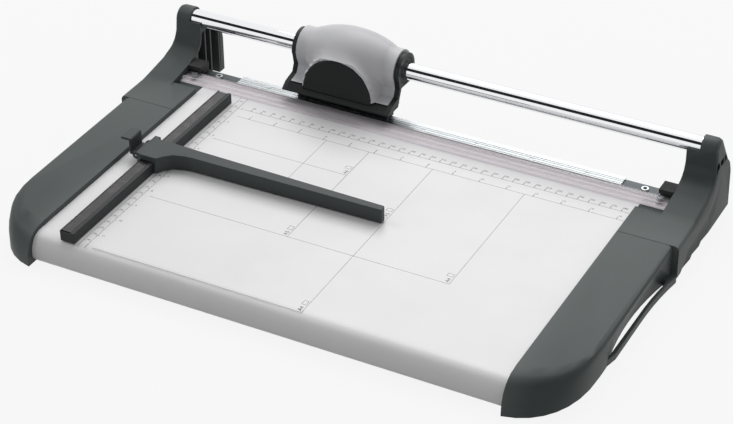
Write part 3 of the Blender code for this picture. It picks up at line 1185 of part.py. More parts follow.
def head_pieces(head, paints):
    """The shell, the half disc, the bushes and the head's screws."""
    shell = piece("head_shell", shell_body(), paints["grey"], head, smooth=50)
    opening = arc((0, -HEAD_TOE[1]), COVER_RADIUS + GAP, 0, 180, COVER_STEPS)
    opening += [(-COVER_RADIUS - GAP, -HEAD_TOE[1] - OVERRUN), (COVER_RADIUS + GAP, -HEAD_TOE[1] - OVERRUN)]
    cut(shell, prism(opening, "Y", -DRUM_FRONT - OVERRUN, -RAIL_Y))
    blind = [rod("Y", (side * SHELL_SCREW_X, -SHELL_SCREW_Z), SMALL_SCREW_RADIUS + GAP,
                 -HEAD_PINCH[0] + SHELL_WALL - SHELL_SCREW_REACH, 0, SCREW_SIDES) for side in (-1, 1)]
    cut(shell, together(blind))

    base = -HEAD_TOE[1] - COVER_BASE
    outline = arc((0, -HEAD_TOE[1]), COVER_RADIUS, 0, 180, COVER_STEPS) + [(-COVER_RADIUS, base), (COVER_RADIUS, base)]
    shrunk = arc((0, -HEAD_TOE[1]), COVER_RADIUS - COVER_EDGE, 0, 180, COVER_STEPS)
    shrunk += [(-COVER_RADIUS + COVER_EDGE, base), (COVER_RADIUS - COVER_EDGE, base)]
    front = -DRUM_FRONT
    rings = [[(x, front + COVER_THICK, z) for x, z in outline], [(x, front + COVER_EDGE, z) for x, z in outline],
             [(x, front, z) for x, z in shrunk]]
    cover = piece("blade_cover", loft(rings), paints["black"], head)
    back_y = -RAIL_Y + BACK_FRONT
    for hand, side in (("left", -1), ("right", 1)):
        centre = (side * POST_SCREW_X, -HEAD_TOE[1] + POST_SCREW_RISE)
        join(cover, rod("Y", centre, POST_SCREW_BOSS, front + COVER_THICK / 2, back_y - GAP, BOSS_SIDES))
        cut(cover, rod("Y", centre, SMALL_SCREW_RADIUS + GAP, back_y - GAP - SMALL_SCREW_REACH, back_y, SCREW_SIDES))
        body = screw("Y", (0, 0), 0, -1, SMALL_SCREW_RADIUS, BACK_THICK + SMALL_SCREW_REACH, SMALL_SCREW_HEAD,
                     SMALL_SCREW_HEAD_LENGTH)
        piece(f"cover_screw_{hand}", body, paints["zinc"], head, (centre[0], back_y + BACK_THICK + GAP, centre[1]))
        web_back = -HEAD_PINCH[0] + SHELL_WALL + BACK_THICK + 3 * GAP
        body = screw("Y", (0, 0), 0, -1, SMALL_SCREW_RADIUS, BACK_THICK + SHELL_SCREW_REACH + GAP,
                     SMALL_SCREW_HEAD, SMALL_SCREW_HEAD_LENGTH)
        piece(f"shell_screw_{hand}", body, paints["zinc"], head, (side * SHELL_SCREW_X, web_back, -SHELL_SCREW_Z))

    for name, side in (("rail_bush_left", -1), ("rail_bush_right", 1)):
        end = HEAD_HALF - GAP
        inner = RAIL_RADIUS + GAP
        profile = [(inner, end - BUSH_LENGTH), (BUSH_RADIUS, end - BUSH_LENGTH), (BUSH_RADIUS, end - BUSH_FLANGE_LENGTH),
                   (BUSH_FLANGE, end - BUSH_FLANGE_LENGTH), (BUSH_FLANGE, end), (inner, end)]
        piece(name, handed(turned("X", (0, 0), profile, ROUND_SIDES), side), paints["rubber"], head)


def blade_pieces(head, axle, paints):
    """The round blade and its hub turn about the axle; the bolt, nut and spring belong to the head."""
    front = BLADE_FRONT
    rear = front + BLADE_THICK
    bore = HUB_SLEEVE + GAP
    profile = [(bore, front), (BLADE_RADIUS, front), (BLADE_RADIUS - BLADE_BEVEL, rear), (bore, rear)]
    piece("rotary_blade", turned("Y", (0, 0), profile, ROUND_SIDES), paints["steel"], axle)
    inner = AXLE_RADIUS + GAP
    hub_front = front - GAP
    hub_rear = rear + GAP
    profile = [(inner, hub_front - HUB_FRONT_LENGTH), (HUB_FRONT_RADIUS, hub_front - HUB_FRONT_LENGTH),
               (HUB_FRONT_RADIUS, hub_front), (HUB_SLEEVE, hub_front), (HUB_SLEEVE, hub_rear),
               (HUB_REAR_RADIUS, hub_rear), (HUB_REAR_RADIUS, hub_rear + HUB_REAR_LENGTH),
               (inner, hub_rear + HUB_REAR_LENGTH)]
    piece("blade_hub", turned("Y", (0, 0), profile, BOSS_SIDES), paints["black"], axle)

    centre = (0, AXLE_Z - RAIL_Z)
    place = -RAIL_Y
    under = place + hub_front - HUB_FRONT_LENGTH - GAP
    nut_front = place + BACK_FRONT + BACK_THICK + GAP
    length = nut_front + NUT_LENGTH + AXLE_TAIL - under
    bolt = screw("Y", centre, under, 1, AXLE_RADIUS, length, AXLE_HEAD_RADIUS, AXLE_HEAD_LENGTH, BOSS_SIDES)
    piece("blade_axle", bolt, paints["steel"], head)
    nut_bore = (AXLE_RADIUS + GAP) / math.cos(math.pi / NUT_SIDES)
    profile = [(nut_bore, nut_front), (AXLE_NUT_RADIUS, nut_front), (AXLE_NUT_RADIUS, nut_front + NUT_LENGTH),
               (nut_bore, nut_front + NUT_LENGTH)]
    piece("blade_axle_nut", turned("Y", centre, profile, NUT_SIDES), paints["zinc"], head)
    seat = place + hub_rear + HUB_REAR_LENGTH + GAP
    stop = place + BACK_FRONT - GAP
    profile = [(inner, seat), (inner + SPRING_THICK, seat), (SPRING_RADIUS, stop - SPRING_THICK),
               (SPRING_RADIUS, stop), (SPRING_RADIUS - SPRING_THICK, stop)]
    piece("blade_spring", turned("Y", centre, profile, BOSS_SIDES), paints["steel"], head)


def paints_of():
    return {
        "white": paint("white_enamel", (0.72, 0.72, 0.73), 0.35),
        "cover": paint("dark_moulding", (0.040, 0.048, 0.048), 0.42),
        "black": paint("black_moulding", (0.012, 0.014, 0.014), 0.38),
        "stop": paint("stop_moulding", (0.022, 0.025, 0.026), 0.45),
        "insert": paint("insert_strip", (0.010, 0.011, 0.012), 0.30),
        "grey": paint("grey_moulding", (0.46, 0.46, 0.48), 0.40),
        "rubber": paint("black_rubber", (0.010, 0.010, 0.010), 0.80),
        "steel": paint("bright_steel", (0.60, 0.62, 0.63), 0.25, 1),
        "zinc": paint("zinc_plate", (0.45, 0.46, 0.47), 0.40, 1),
        "dark_metal": paint("dark_anodised", (0.060, 0.068, 0.070), 0.45, 0.5),
        "chrome": paint("chrome_plate", (0.85, 0.86, 0.88), 0.06, 1),
        "clear": paint("clear_plastic", (0.90, 0.88, 0.90), 0.10, 0, 0.35),
    }


def main():
    clear_scene()
    paints = paints_of()
    root = empty("cutting_line", (0, CUT_Y, BED_HEIGHT))
    bed_pieces(root, paints)
    bar_pieces(root, paints)
    block_pieces(root, paints)
    front_covers(root, paints)
    rear_covers(root, paints)
    cover_screws(root, paints)
    feet(root, paints)
    rail_pieces(root, paints)
    clamp_pieces(root, paints)
    fence_pieces(root, paints)
    lever_middle = -(LEVER_FRONT + LEVER_REAR) / 2
    stop = empty("backstop", (FENCE_RIGHT - FENCE_WIDTH / 2, lever_middle, 0), root)
    stop_pieces(stop, paints)
    pivot = empty("lever_pivot", (LEVER_PIVOT_X, lever_middle, LEVER_PIVOT_Z), root)
    lever_piece(pivot, paints)
    head = empty("head", (HEAD_X, RAIL_Y, RAIL_Z), root)
    head_core(head, paints)
    head_pieces(head, paints)
    axle = empty("axle", (HEAD_X, 0, AXLE_Z), root)
    blade_pieces(head, axle, paints)


main()
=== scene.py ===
# %% [markdown]
# A rotary paper trimmer: a white bed between two dark side covers, a chromed rail along the back,
# and a head that carries a round blade along it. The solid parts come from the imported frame, at
# their real places, in metres. This lesson gives them their finishes, prints the scales on the bed,
# adds the small parts that only the eye needs, and sets the camera and the studio.

import json
import math

import bmesh
import bpy
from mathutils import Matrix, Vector


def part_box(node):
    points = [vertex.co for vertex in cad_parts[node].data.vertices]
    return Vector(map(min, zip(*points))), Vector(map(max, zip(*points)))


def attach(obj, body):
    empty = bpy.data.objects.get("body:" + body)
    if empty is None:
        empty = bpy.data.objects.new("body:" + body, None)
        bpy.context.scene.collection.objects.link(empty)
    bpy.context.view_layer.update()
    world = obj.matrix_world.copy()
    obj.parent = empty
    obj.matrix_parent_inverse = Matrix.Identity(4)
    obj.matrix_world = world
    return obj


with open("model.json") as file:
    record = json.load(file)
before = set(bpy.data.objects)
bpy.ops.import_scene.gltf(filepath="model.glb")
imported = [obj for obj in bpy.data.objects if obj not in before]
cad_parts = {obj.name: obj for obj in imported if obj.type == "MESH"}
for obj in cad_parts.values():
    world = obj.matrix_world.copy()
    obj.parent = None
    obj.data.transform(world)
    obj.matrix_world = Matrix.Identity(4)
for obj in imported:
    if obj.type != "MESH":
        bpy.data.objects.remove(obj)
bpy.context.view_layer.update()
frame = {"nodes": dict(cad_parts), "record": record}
nodes = frame["nodes"]
MM = 0.001

# %% [markdown]
# Every place on the trimmer is measured from two lines that the real one is built round: the rear
# edge of the fixed blade, where paper is cut, and the zero of the printed scale, just right of the
# fence. Reading both from the frame keeps the print true to the solids.

# %% The lines that the print is measured from
FENCE_TO_ZERO = 2.9 * MM
bed_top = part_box("table")[1].z
cut_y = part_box("counter_blade")[1].y
zero_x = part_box("fence")[1].x + FENCE_TO_ZERO
print("scale zero at x", round(zero_x, 4), "and cutting line at y", round(cut_y, 4))


def on_bed(x, y, z=0):
    """A place on the bed, from the scale's zero, the cutting line and the bed's top."""
    return Vector((zero_x + x, cut_y + y, bed_top + z))


# %% [markdown]
# The camera looks down at about 34 degrees from the right front, through a long lens, so the far end
# of the rail is hardly smaller than the near one. Its place and angles were found by fitting the
# printed scale's marks, whose true spacing is known.

# %% Camera
CAMERA_PLACE = (712.2 * MM, -1330.35 * MM, 1022.25 * MM)
CAMERA_ANGLES = (56.249, 0.447, 27.593)
CAMERA_LENS = 104.49
SENSOR_WIDTH = 36

scene = bpy.context.scene
camera = bpy.data.objects.new("camera", bpy.data.cameras.new("camera"))
camera.location = CAMERA_PLACE
camera.rotation_euler = [math.radians(angle) for angle in CAMERA_ANGLES]
camera.data.lens = CAMERA_LENS
camera.data.sensor_width = SENSOR_WIDTH
scene.collection.objects.link(camera)
scene.camera = camera
scene.view_settings.view_transform = "Standard"
print("camera at", [round(n, 3) for n in camera.location])

# %% [markdown]
# Every finish below is a small network of nodes. These helpers keep them short. One makes a
# material and its main shader, and one adds a node with its settings and links. The others make
# what the finishes share: a value or a colour that follows a pattern, and the pattern itself.

# %% Helpers for materials


def new_finish(name):
    """A material's node tree and its main shader."""
    material = bpy.data.materials.new(name)
    material.use_nodes = True
    tree = material.node_tree
    return material, tree, tree.nodes["Principled BSDF"]


def add(tree, kind, inputs=(), **settings):
    """A node of a kind, with its settings and the values or links of its inputs."""
    node = tree.nodes.new(kind)
    for name, value in settings.items():
        setattr(node, name, value)
    for socket, value in dict(inputs).items():
        if isinstance(value, bpy.types.NodeSocket):
            tree.links.new(value, node.inputs[socket])
        else:
            node.inputs[socket].default_value = value
    return node


def ramp(tree, factor, low, high, start, end):
    """A value that runs from start to end while the factor runs from low to high."""
    inputs = {"Value": factor, "From Min": low, "From Max": high, "To Min": start, "To Max": end}
    return add(tree, "ShaderNodeMapRange", inputs).outputs["Result"]


def shades(tree, factor, dark, light):
    """A colour between two, by a factor."""
    mix = add(tree, "ShaderNodeMix", data_type="RGBA")
    tree.links.new(factor, mix.inputs["Factor"])
    mix.inputs["A"].default_value = (*dark, 1)
    mix.inputs["B"].default_value = (*light, 1)
    return mix.outputs["Result"]


def spots(tree, size, stretch=(1, 1, 1), detail=2):
    """Noise with features of one size, in the piece's own place. A stretch below 1 draws it out."""
    place = add(tree, "ShaderNodeTexCoord").outputs["Object"]
    scaled = add(tree, "ShaderNodeMapping", {"Vector": place, "Scale": stretch}).outputs["Vector"]
    noise = add(tree, "ShaderNodeTexNoise", {"Vector": scaled, "Scale": 1 / size, "Detail": detail})
    return noise.outputs["Fac"]


def set_values(shader, **values):
    """Sets inputs of a shader that are the same all over."""
    for name, value in values.items():
        shader.inputs[name.replace("_", " ")].default_value = value


# %% [markdown]
# The side covers, the head's frame and the stop are injection mouldings. Their moulds are
# spark-eroded, which leaves a grain of a few tenths of a millimetre that breaks up the shine.
# Edges that hands touch are rubbed smoother and a little lighter, which the Geometry node's
# pointiness picks out. One function makes all the mouldings, each with its own colour.

# %% Moulded plastics
GRAIN_SIZE = 0.35 * MM
GRAIN_HEIGHT = 0.02 * MM
CLOUD_SIZE = 60 * MM
EDGE_SOFTNESS = 0.5 * MM
SHEEN_LEVEL = 0.16
ROUGHNESS_SPREAD = 0.06


def moulding(name, dark, light, edge, roughness, grain=GRAIN_HEIGHT, rounding=EDGE_SOFTNESS):
    """A grained plastic with clouds between two shades and rubbed edges."""
    material, tree, shader = new_finish(name)
    set_values(shader, Specular_IOR_Level=SHEEN_LEVEL)
    cloud = ramp(tree, spots(tree, CLOUD_SIZE), 0.35, 0.65, 0, 1)
    colour = shades(tree, cloud, dark, light)
    point = add(tree, "ShaderNodeNewGeometry").outputs["Pointiness"]
    worn = ramp(tree, point, 0.52, 0.62, 0, 1)
    mix = add(tree, "ShaderNodeMix", {"Factor": worn}, data_type="RGBA")
    tree.links.new(colour, mix.inputs["A"])
    mix.inputs["B"].default_value = (*edge, 1)
    tree.links.new(mix.outputs["Result"], shader.inputs["Base Color"])
    fine = spots(tree, GRAIN_SIZE, detail=3)
    rough = ramp(tree, fine, 0.3, 0.7, roughness - ROUGHNESS_SPREAD, roughness + ROUGHNESS_SPREAD)
    tree.links.new(rough, shader.inputs["Roughness"])
    rounded = add(tree, "ShaderNodeBevel", {"Radius": rounding}, samples=4)
    bump = add(tree, "ShaderNodeBump", {"Height": fine, "Distance": grain, "Strength": 1.0,
                                        "Normal": rounded.outputs["Normal"]})
    tree.links.new(bump.outputs["Normal"], shader.inputs["Normal"])
    return material


dark_moulding = moulding("side_cover_plastic", (0.040, 0.049, 0.048), (0.050, 0.060, 0.059),
                         (0.085, 0.098, 0.096), 0.44)
black_moulding = moulding("head_frame_plastic", (0.010, 0.012, 0.012), (0.014, 0.017, 0.017),
                          (0.030, 0.034, 0.034), 0.38)
stop_moulding = moulding("back_stop_plastic", (0.026, 0.031, 0.031), (0.033, 0.039, 0.039),
                         (0.060, 0.068, 0.067), 0.42)
grey_moulding = moulding("head_shell_plastic", (0.50, 0.50, 0.52), (0.54, 0.54, 0.56),
                         (0.62, 0.62, 0.64), 0.34, GRAIN_HEIGHT / 4)
print("four mouldings, with a grain of", GRAIN_SIZE, "m")

# %% [markdown]
# The bed is sheet steel under white baked enamel. Enamel dries with a faint orange peel of a
# millimetre or two, shallow enough to see only in reflections.

# %% White enamel
PEEL_SIZE = 1.6 * MM
PEEL_HEIGHT = 0.006 * MM

enamel, tree, shader = new_finish("white_baked_enamel")
cloud = ramp(tree, spots(tree, CLOUD_SIZE), 0.3, 0.7, 0, 1)
tree.links.new(shades(tree, cloud, (0.700, 0.695, 0.705), (0.735, 0.730, 0.740)), shader.inputs["Base Color"])
peel = spots(tree, PEEL_SIZE)
tree.links.new(ramp(tree, peel, 0.3, 0.7, 0.34, 0.44), shader.inputs["Roughness"])
bump = add(tree, "ShaderNodeBump", {"Height": peel, "Distance": PEEL_HEIGHT, "Strength": 1.0})
tree.links.new(bump.outputs["Normal"], shader.inputs["Normal"])
print("enamel made")

# %% [markdown]
# The metals differ in how they were worked. The fixed blade is ground along its length, which
# leaves fine scratches one way. The channels and screws are zinc plated and dull. The rail is
# chromed and mirror bright, and the bar under the blade is dark anodised.

# %% Metals
SCRATCH_SIZE = 0.12 * MM
SCRATCH_HEIGHT = 0.002 * MM
FLAKE_SIZE = 2.5 * MM


def metal(name, dark, light, rough_low, rough_high, size, stretch=(1, 1, 1), height=SCRATCH_HEIGHT):
    """A bare metal whose shade and polish follow one pattern of marks."""
    material, tree, shader = new_finish(name)
    set_values(shader, Metallic=1.0)
    marks = spots(tree, size, stretch, detail=3)
    tree.links.new(shades(tree, marks, dark, light), shader.inputs["Base Color"])
    tree.links.new(ramp(tree, marks, 0.3, 0.7, rough_low, rough_high), shader.inputs["Roughness"])
    bump = add(tree, "ShaderNodeBump", {"Height": marks, "Distance": height, "Strength": 1.0})
    tree.links.new(bump.outputs["Normal"], shader.inputs["Normal"])
    return material


GROUND_ALONG_X = (0.01, 1, 1)
ground_steel = metal("ground_steel", (0.30, 0.32, 0.33), (0.50, 0.52, 0.53), 0.20, 0.32, SCRATCH_SIZE,
                     GROUND_ALONG_X)
dull_zinc = metal("dull_zinc_plate", (0.38, 0.39, 0.41), (0.52, 0.53, 0.54), 0.36, 0.50, FLAKE_SIZE)
chrome = metal("mirror_chrome", (0.84, 0.85, 0.87), (0.88, 0.89, 0.91), 0.03, 0.05, CLOUD_SIZE, height=0)
anodised = metal("dark_anodised_bar", (0.060, 0.068, 0.072), (0.085, 0.095, 0.100), 0.34, 0.46,
                 SCRATCH_SIZE, GROUND_ALONG_X)
print("four metals made")

# %% [markdown]
# Rubber scatters light evenly and picks up a little dust. The fence's strip is a smooth black film
# with a faint mottle, and the hold-down bar is clear acrylic. Thin clear plastic is cheapest and
# cleanest as a surface that is nearly see-through head on and turns glossy at a slant, which is
# what the Layer Weight node's Fresnel output measures.

# %% Rubber, film, clear plastic and ink
DUST_SIZE = 4 * MM
MOTTLE_SIZE = 9 * MM
STREAK_SIZE = 2 * MM
STREAKS_ALONG_X = (0.02, 1, 1)
INK_GRAIN = 0.4 * MM

rubber, tree, shader = new_finish("black_rubber_finish")
dust = ramp(tree, spots(tree, DUST_SIZE, detail=4), 0.4, 0.75, 0, 1)
tree.links.new(shades(tree, dust, (0.012, 0.012, 0.012), (0.022, 0.022, 0.021)), shader.inputs["Base Color"])
tree.links.new(ramp(tree, dust, 0, 1, 0.65, 0.85), shader.inputs["Roughness"])

film, tree, shader = new_finish("fence_strip_film")
mottle = ramp(tree, spots(tree, MOTTLE_SIZE, detail=4), 0.45, 0.7, 0, 1)
colour = shades(tree, mottle, (0.010, 0.009, 0.010), (0.040, 0.032, 0.037))
tree.links.new(colour, shader.inputs["Base Color"])
set_values(shader, Roughness=0.26)

clear, tree, shader = new_finish("clear_acrylic")
slant = add(tree, "ShaderNodeLayerWeight", {"Blend": 0.35}).outputs["Fresnel"]
tree.links.new(ramp(tree, slant, 0.0, 0.9, 0.14, 0.85), shader.inputs["Alpha"])
streak = spots(tree, STREAK_SIZE, STREAKS_ALONG_X)
tree.links.new(shades(tree, streak, (0.80, 0.76, 0.79), (0.93, 0.89, 0.92)), shader.inputs["Base Color"])
set_values(shader, Roughness=0.06)

ink, tree, shader = new_finish("printed_ink")
patchy = spots(tree, INK_GRAIN)
colour = shades(tree, patchy, (0.020, 0.020, 0.026), (0.050, 0.050, 0.058))
tree.links.new(colour, shader.inputs["Base Color"])
set_values(shader, Roughness=0.5)
print("soft, clear and printed finishes made")

# %% [markdown]
# The record names a material slot for every node of the frame, so the finishes are handed out by
# slot. The frame's meshes arrive with split corners; a Weld modifier closes them without moving
# anything, so that curved faces can be shaded smooth across their facets.

# %% Give every node its finish
FINISH_OF_SLOT = {
    "white_enamel": enamel, "zinc_plate": dull_zinc, "dark_anodised": anodised, "bright_steel": ground_steel,
    "black_rubber": rubber, "dark_moulding": dark_moulding, "chrome_plate": chrome, "clear_plastic": clear,
    "black_moulding": black_moulding, "insert_strip": film, "stop_moulding": stop_moulding,
    "grey_moulding": grey_moulding,
}
SMOOTH_ANGLE = math.radians(32)
WELD_REACH = 0.001 * MM


def smooth_node(thing):
    """Closes the split corners, and shades smooth up to one angle with the large flat faces kept flat."""
    mesh = thing.data
    if "custom_normal" in mesh.attributes:
        mesh.attributes.remove(mesh.attributes["custom_normal"])
    thing.modifiers.new("close_corners", "WELD").merge_threshold = WELD_REACH
    thing.modifiers.new("sharp_edges", "EDGE_SPLIT").split_angle = SMOOTH_ANGLE
    thing.modifiers.new("flat_faces_lead", "WEIGHTED_NORMAL").keep_sharp = True
    mesh.shade_smooth()


for part in frame["record"]["subparts"]:
    thing = nodes[part["node"]]
    thing.data.materials.clear()
    thing.data.materials.append(FINISH_OF_SLOT[part["material_slot"]])
    smooth_node(thing)
print("finishes given to", len(nodes), "nodes")

# %% [markdown]
# The bed carries a scale in millimetres and one in inches, the outlines of standard sheets, and a
# second scale beside the fence. On the real bed they are screen printed, so here each mark is a
# very thin solid on the enamel. A helper lays a straight line of one width, another writes a
# figure with the built-in font, and both add to a single mesh.

# %% Helpers for the print
INK_HEIGHT = 0.03 * MM
THIN_LINE = 0.30 * MM
BOLD_LINE = 0.50 * MM


def add_line(body, start, end, width):
    """A flat bar of ink between two (x, y) places."""
    start, end = Vector(start), Vector(end)
    run = (end - start).normalized() * (width / 2)
    side = Vector((-run.y, run.x))
    corners = [start - run - side, end + run - side, end + run + side, start - run + side]
    low = [body.verts.new(on_bed(*corner, 0)) for corner in corners]
    high = [body.verts.new(on_bed(*corner, INK_HEIGHT)) for corner in corners]
    body.faces.new(low[::-1])
    body.faces.new(high)
    for index in range(len(corners)):
        body.faces.new((low[index - 1], low[index], high[index], high[index - 1]))


def add_text(body, words, size, place, turn=0, align="LEFT"):
    """A word or a figure in ink, with its foot at an (x, y) place, turned about it."""
    curve = bpy.data.curves.new("figure", "FONT")
    curve.body = words
    curve.size = size
    curve.align_x = align
    curve.resolution_u = 2
    curve.extrude = INK_HEIGHT / 2
    holder = bpy.data.objects.new("figure", curve)
    holder.location = on_bed(*place, INK_HEIGHT / 2)
    holder.rotation_euler.z = math.radians(turn)
    scene.collection.objects.link(holder)
    bpy.context.view_layer.update()
    mesh = bpy.data.meshes.new_from_object(holder.evaluated_get(bpy.context.evaluated_depsgraph_get()))
    mesh.transform(holder.matrix_world)
    body.from_mesh(mesh)
    bpy.data.meshes.remove(mesh)
    bpy.data.objects.remove(holder)
    bpy.data.curves.remove(curve)


def add_piece(name, body, finish, carrier):
    """Makes a named piece of a mesh body and lets it ride on a part of the frame."""
    mesh = bpy.data.meshes.new(name)
    body.to_mesh(mesh)
    body.free()
    mesh.materials.append(finish)
    thing = bpy.data.objects.new(name, mesh)
    scene.collection.objects.link(thing)
    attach(thing, carrier)
    return thing


# %% [markdown]
# The scales along the cutting line: a long thin line, a tick every centimetre or inch, and a
# figure at the upper right of each tick.

# %% Scales along the cutting line
MM_LINE_Y = -49.8 * MM
INCH_LINE_Y = -62.6 * MM
SCALE_START = 13.5 * MM
SCALE_END = 387.5 * MM
TICK = 3.4 * MM
FIGURE_SIZE = 3.3 * MM
FIGURE_RISE = 0.8 * MM
CENTIMETRE = 10 * MM
INCH = 25.4 * MM
CENTIMETRES = 38
INCHES = 15

marks = bmesh.new()
figures = bmesh.new()
SCALES = ((MM_LINE_Y, CENTIMETRE, CENTIMETRES, 10), (INCH_LINE_Y, INCH, INCHES, 1))
for baseline, step, count, shown in SCALES:
    add_line(marks, (SCALE_START, baseline), (SCALE_END, baseline), THIN_LINE)
    for index in range(1, count + 1):
        x = index * step
        if x < SCALE_START:
            continue
        add_line(marks, (x, baseline), (x, baseline + TICK), BOLD_LINE)
        add_text(figures, str(index * shown), FIGURE_SIZE, (x - BOLD_LINE, baseline + TICK + FIGURE_RISE))
print("scales along the cutting line drawn")

# %% [markdown]
# The scale beside the fence: two long lines with the centimetres between them, and the inches on
# the right.

# %% Scale beside the fence
COLUMN_LEFT = 0.2 * MM
COLUMN_RIGHT = 7.0 * MM
COLUMN_REAR = -33 * MM
COLUMN_FRONT = -299.8 * MM
COLUMN_TICK = 1.6 * MM
COLUMN_FIGURE = 2.5 * MM
COLUMN_INCH_X = 10.2 * MM
COLUMN_FIRST = 4
COLUMN_LAST = 29
COLUMN_INCHES = range(2, 12)

for x in (COLUMN_LEFT, COLUMN_RIGHT):
    add_line(marks, (x, COLUMN_REAR), (x, COLUMN_FRONT), THIN_LINE)
for index in range(COLUMN_FIRST, COLUMN_LAST + 1):
    y = -index * CENTIMETRE
    add_line(marks, (COLUMN_LEFT, y), (COLUMN_LEFT + COLUMN_TICK, y), THIN_LINE)
    add_line(marks, (COLUMN_RIGHT - COLUMN_TICK, y), (COLUMN_RIGHT, y), THIN_LINE)
    middle = (COLUMN_LEFT + COLUMN_RIGHT) / 2
    add_text(figures, str(index * 10), COLUMN_FIGURE, (middle, y + FIGURE_RISE), align="CENTER")
for index in COLUMN_INCHES:
    y = -index * INCH
    add_line(marks, (COLUMN_RIGHT, y), (COLUMN_RIGHT + COLUMN_TICK, y), THIN_LINE)
    add_text(figures, str(index), FIGURE_SIZE, (COLUMN_INCH_X, y))
print("scale beside the fence drawn")

# %% [markdown]
# Standard sheets laid in the corner reach to the printed outlines: a line across at each sheet's
# depth and one down at its width. Each corner is named, with a small picture of an upright or a
# lying page beside the name.

# %% Outlines of standard sheets
A6_SHORT = 105 * MM
A5_SHORT = 148 * MM
A4_SHORT = 210 * MM
A4_LONG = 297 * MM
SHEET_SIDES = {"A6": (A6_SHORT, A5_SHORT), "A5": (A5_SHORT, A4_SHORT), "A4": (A4_SHORT, A4_LONG)}
ACROSS = ((A6_SHORT, A5_SHORT), (A5_SHORT, A4_SHORT), (A4_SHORT, A4_LONG), (A4_LONG, A4_SHORT))
NAME_SIZE = 5.0 * MM
NAME_MARGIN = 1.6 * MM
PAGE_LONG = 5.4 * MM
PAGE_SHORT = 3.8 * MM
PAGE_SHIFT = 8.4 * MM

for depth, reach in ACROSS:
    add_line(marks, (SCALE_START, -depth), (reach, -depth), THIN_LINE)
for reach, depth in (ACROSS[0],) + ACROSS[:0:-1]:
    add_line(marks, (reach, INCH_LINE_Y), (reach, -depth), THIN_LINE)
add_line(marks, (A5_SHORT, INCH_LINE_Y), (A5_SHORT, -A4_SHORT), THIN_LINE)


def add_page(body, corner, wide):
    """A small upright or lying page, drawn as four lines, left of a corner and behind it."""
    across, along_y = (PAGE_LONG, PAGE_SHORT) if wide else (PAGE_SHORT, PAGE_LONG)
    right = corner[0] - NAME_MARGIN
    front = corner[1] + NAME_MARGIN + PAGE_SHIFT
    left, rear = right - across, front + along_y
    corners = [(right, front), (right, rear), (left, rear), (left, front)]
    for index, corner_place in enumerate(corners):
        add_line(body, corners[index - 1], corner_place, THIN_LINE)


for name, (short, long) in SHEET_SIDES.items():
    corners = [(long, -short)] if name == "A6" else [(long, -short), (short, -long)]
    for x, y in corners:
        add_text(figures, name, NAME_SIZE, (x - NAME_MARGIN, y + NAME_MARGIN), turn=90)
        add_page(marks, (x, y), x > -y)
add_piece("bed_scale_lines", marks, ink, "base")
add_piece("bed_scale_figures", figures, ink, "base")
print("sheet outlines drawn")

# %% [markdown]
# The studio starts with a pale floor and an even surround. The surround is white to the camera and
# in reflections, and gentler as light, so the background is white while the object isn't overlit.
# The floor does the same by a share of its shader, and keeps the object's shadow in the rest.

# %% Floor and surround
FLOOR_SIZE = 14.0
FLOOR_DROP = 0.2 * MM
AMBIENT = 0.40
FLOOR_GREY = 0.45
FLOOR_WHITE_SHARE = 0.88


def seen_directly(tree):
    """One for the camera's rays and those that a shiny or clear face sends on, and zero for light."""
    path = add(tree, "ShaderNodeLightPath").outputs
    seen = add(tree, "ShaderNodeMath", {0: path["Is Camera Ray"], 1: path["Is Glossy Ray"]}, operation="ADD")
    seen = add(tree, "ShaderNodeMath", {0: seen.outputs[0], 1: path["Is Transmission Ray"]}, operation="ADD",
               use_clamp=True)
    return seen.outputs[0]


floor = bmesh.new()
bmesh.ops.create_grid(floor, x_segments=1, y_segments=1, size=FLOOR_SIZE)
mesh = bpy.data.meshes.new("studio_floor")
floor.to_mesh(mesh)
floor.free()
studio_floor = bpy.data.objects.new("studio_floor", mesh)
studio_floor.location.z = -FLOOR_DROP
scene.collection.objects.link(studio_floor)

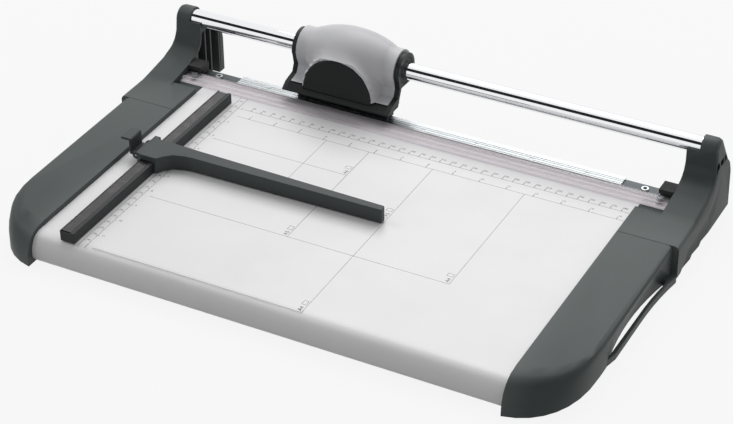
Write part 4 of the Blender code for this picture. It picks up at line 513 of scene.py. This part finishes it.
paper, tree, shader = new_finish("floor_paper")
set_values(shader, Base_Color=(FLOOR_GREY, FLOOR_GREY, FLOOR_GREY, 1), Roughness=0.9)
share = add(tree, "ShaderNodeMath", {0: seen_directly(tree), 1: FLOOR_WHITE_SHARE}, operation="MULTIPLY")
white = add(tree, "ShaderNodeEmission", {"Color": (1, 1, 1, 1), "Strength": 1.0})
blend = add(tree, "ShaderNodeMixShader", {0: share.outputs[0], 1: shader.outputs[0], 2: white.outputs[0]})
tree.links.new(blend.outputs[0], tree.nodes["Material Output"].inputs["Surface"])
mesh.materials.append(paper)

world = bpy.data.worlds.new("surround")
world.use_nodes = True
scene.world = world
tree = world.node_tree
strength = ramp(tree, seen_directly(tree), 0, 1, AMBIENT, 1.0)
sky = tree.nodes["Background"]
sky.inputs["Color"].default_value = (1, 1, 1, 1)
tree.links.new(strength, sky.inputs["Strength"])
print("floor and surround made")

# %% [markdown]
# A large lamp behind and above makes the tops the lightest faces, and a weaker one stands at the
# left. Both are wide areas, so shadows are soft. A dark card above and in front is seen only in
# reflections: it draws the black stripe along the chromed rail, as a photographer's flag does.

# %% Lamps and the dark card
LAMPS = (
    ("lamp_behind", (-0.3, 1.6, 2.2), 2.0, 52.0),
    ("lamp_left", (-1.9, -0.2, 1.5), 1.2, 10.0),
)
CARD_SIZE = (6.0, 1.55)
CARD_PLACE = (0.0, -1.4, 1.84)
CARD_TILT = -40

for name, place, size, power in LAMPS:
    data = bpy.data.lights.new(name, "AREA")
    data.size = size
    data.energy = power
    lamp = bpy.data.objects.new(name, data)
    lamp.location = place
    lamp.rotation_euler = (-Vector(place)).to_track_quat("-Z", "Y").to_euler()
    scene.collection.objects.link(lamp)

card_mesh = bpy.data.meshes.new("dark_card")
half_x, half_z = CARD_SIZE[0] / 2, CARD_SIZE[1] / 2
corners = [(-half_x, 0, -half_z), (half_x, 0, -half_z), (half_x, 0, half_z), (-half_x, 0, half_z)]
card_mesh.from_pydata(corners, [], [(0, 1, 2, 3)])
card_finish, tree, shader = new_finish("dark_card_paper")
set_values(shader, Base_Color=(0.01, 0.01, 0.01, 1), Roughness=1.0)
card_mesh.materials.append(card_finish)
card = bpy.data.objects.new("dark_card", card_mesh)
card.location = CARD_PLACE
card.rotation_euler.x = math.radians(CARD_TILT)
scene.collection.objects.link(card)
card.visible_camera = card.visible_diffuse = card.visible_shadow = card.visible_transmission = False
print("lamps and card placed")
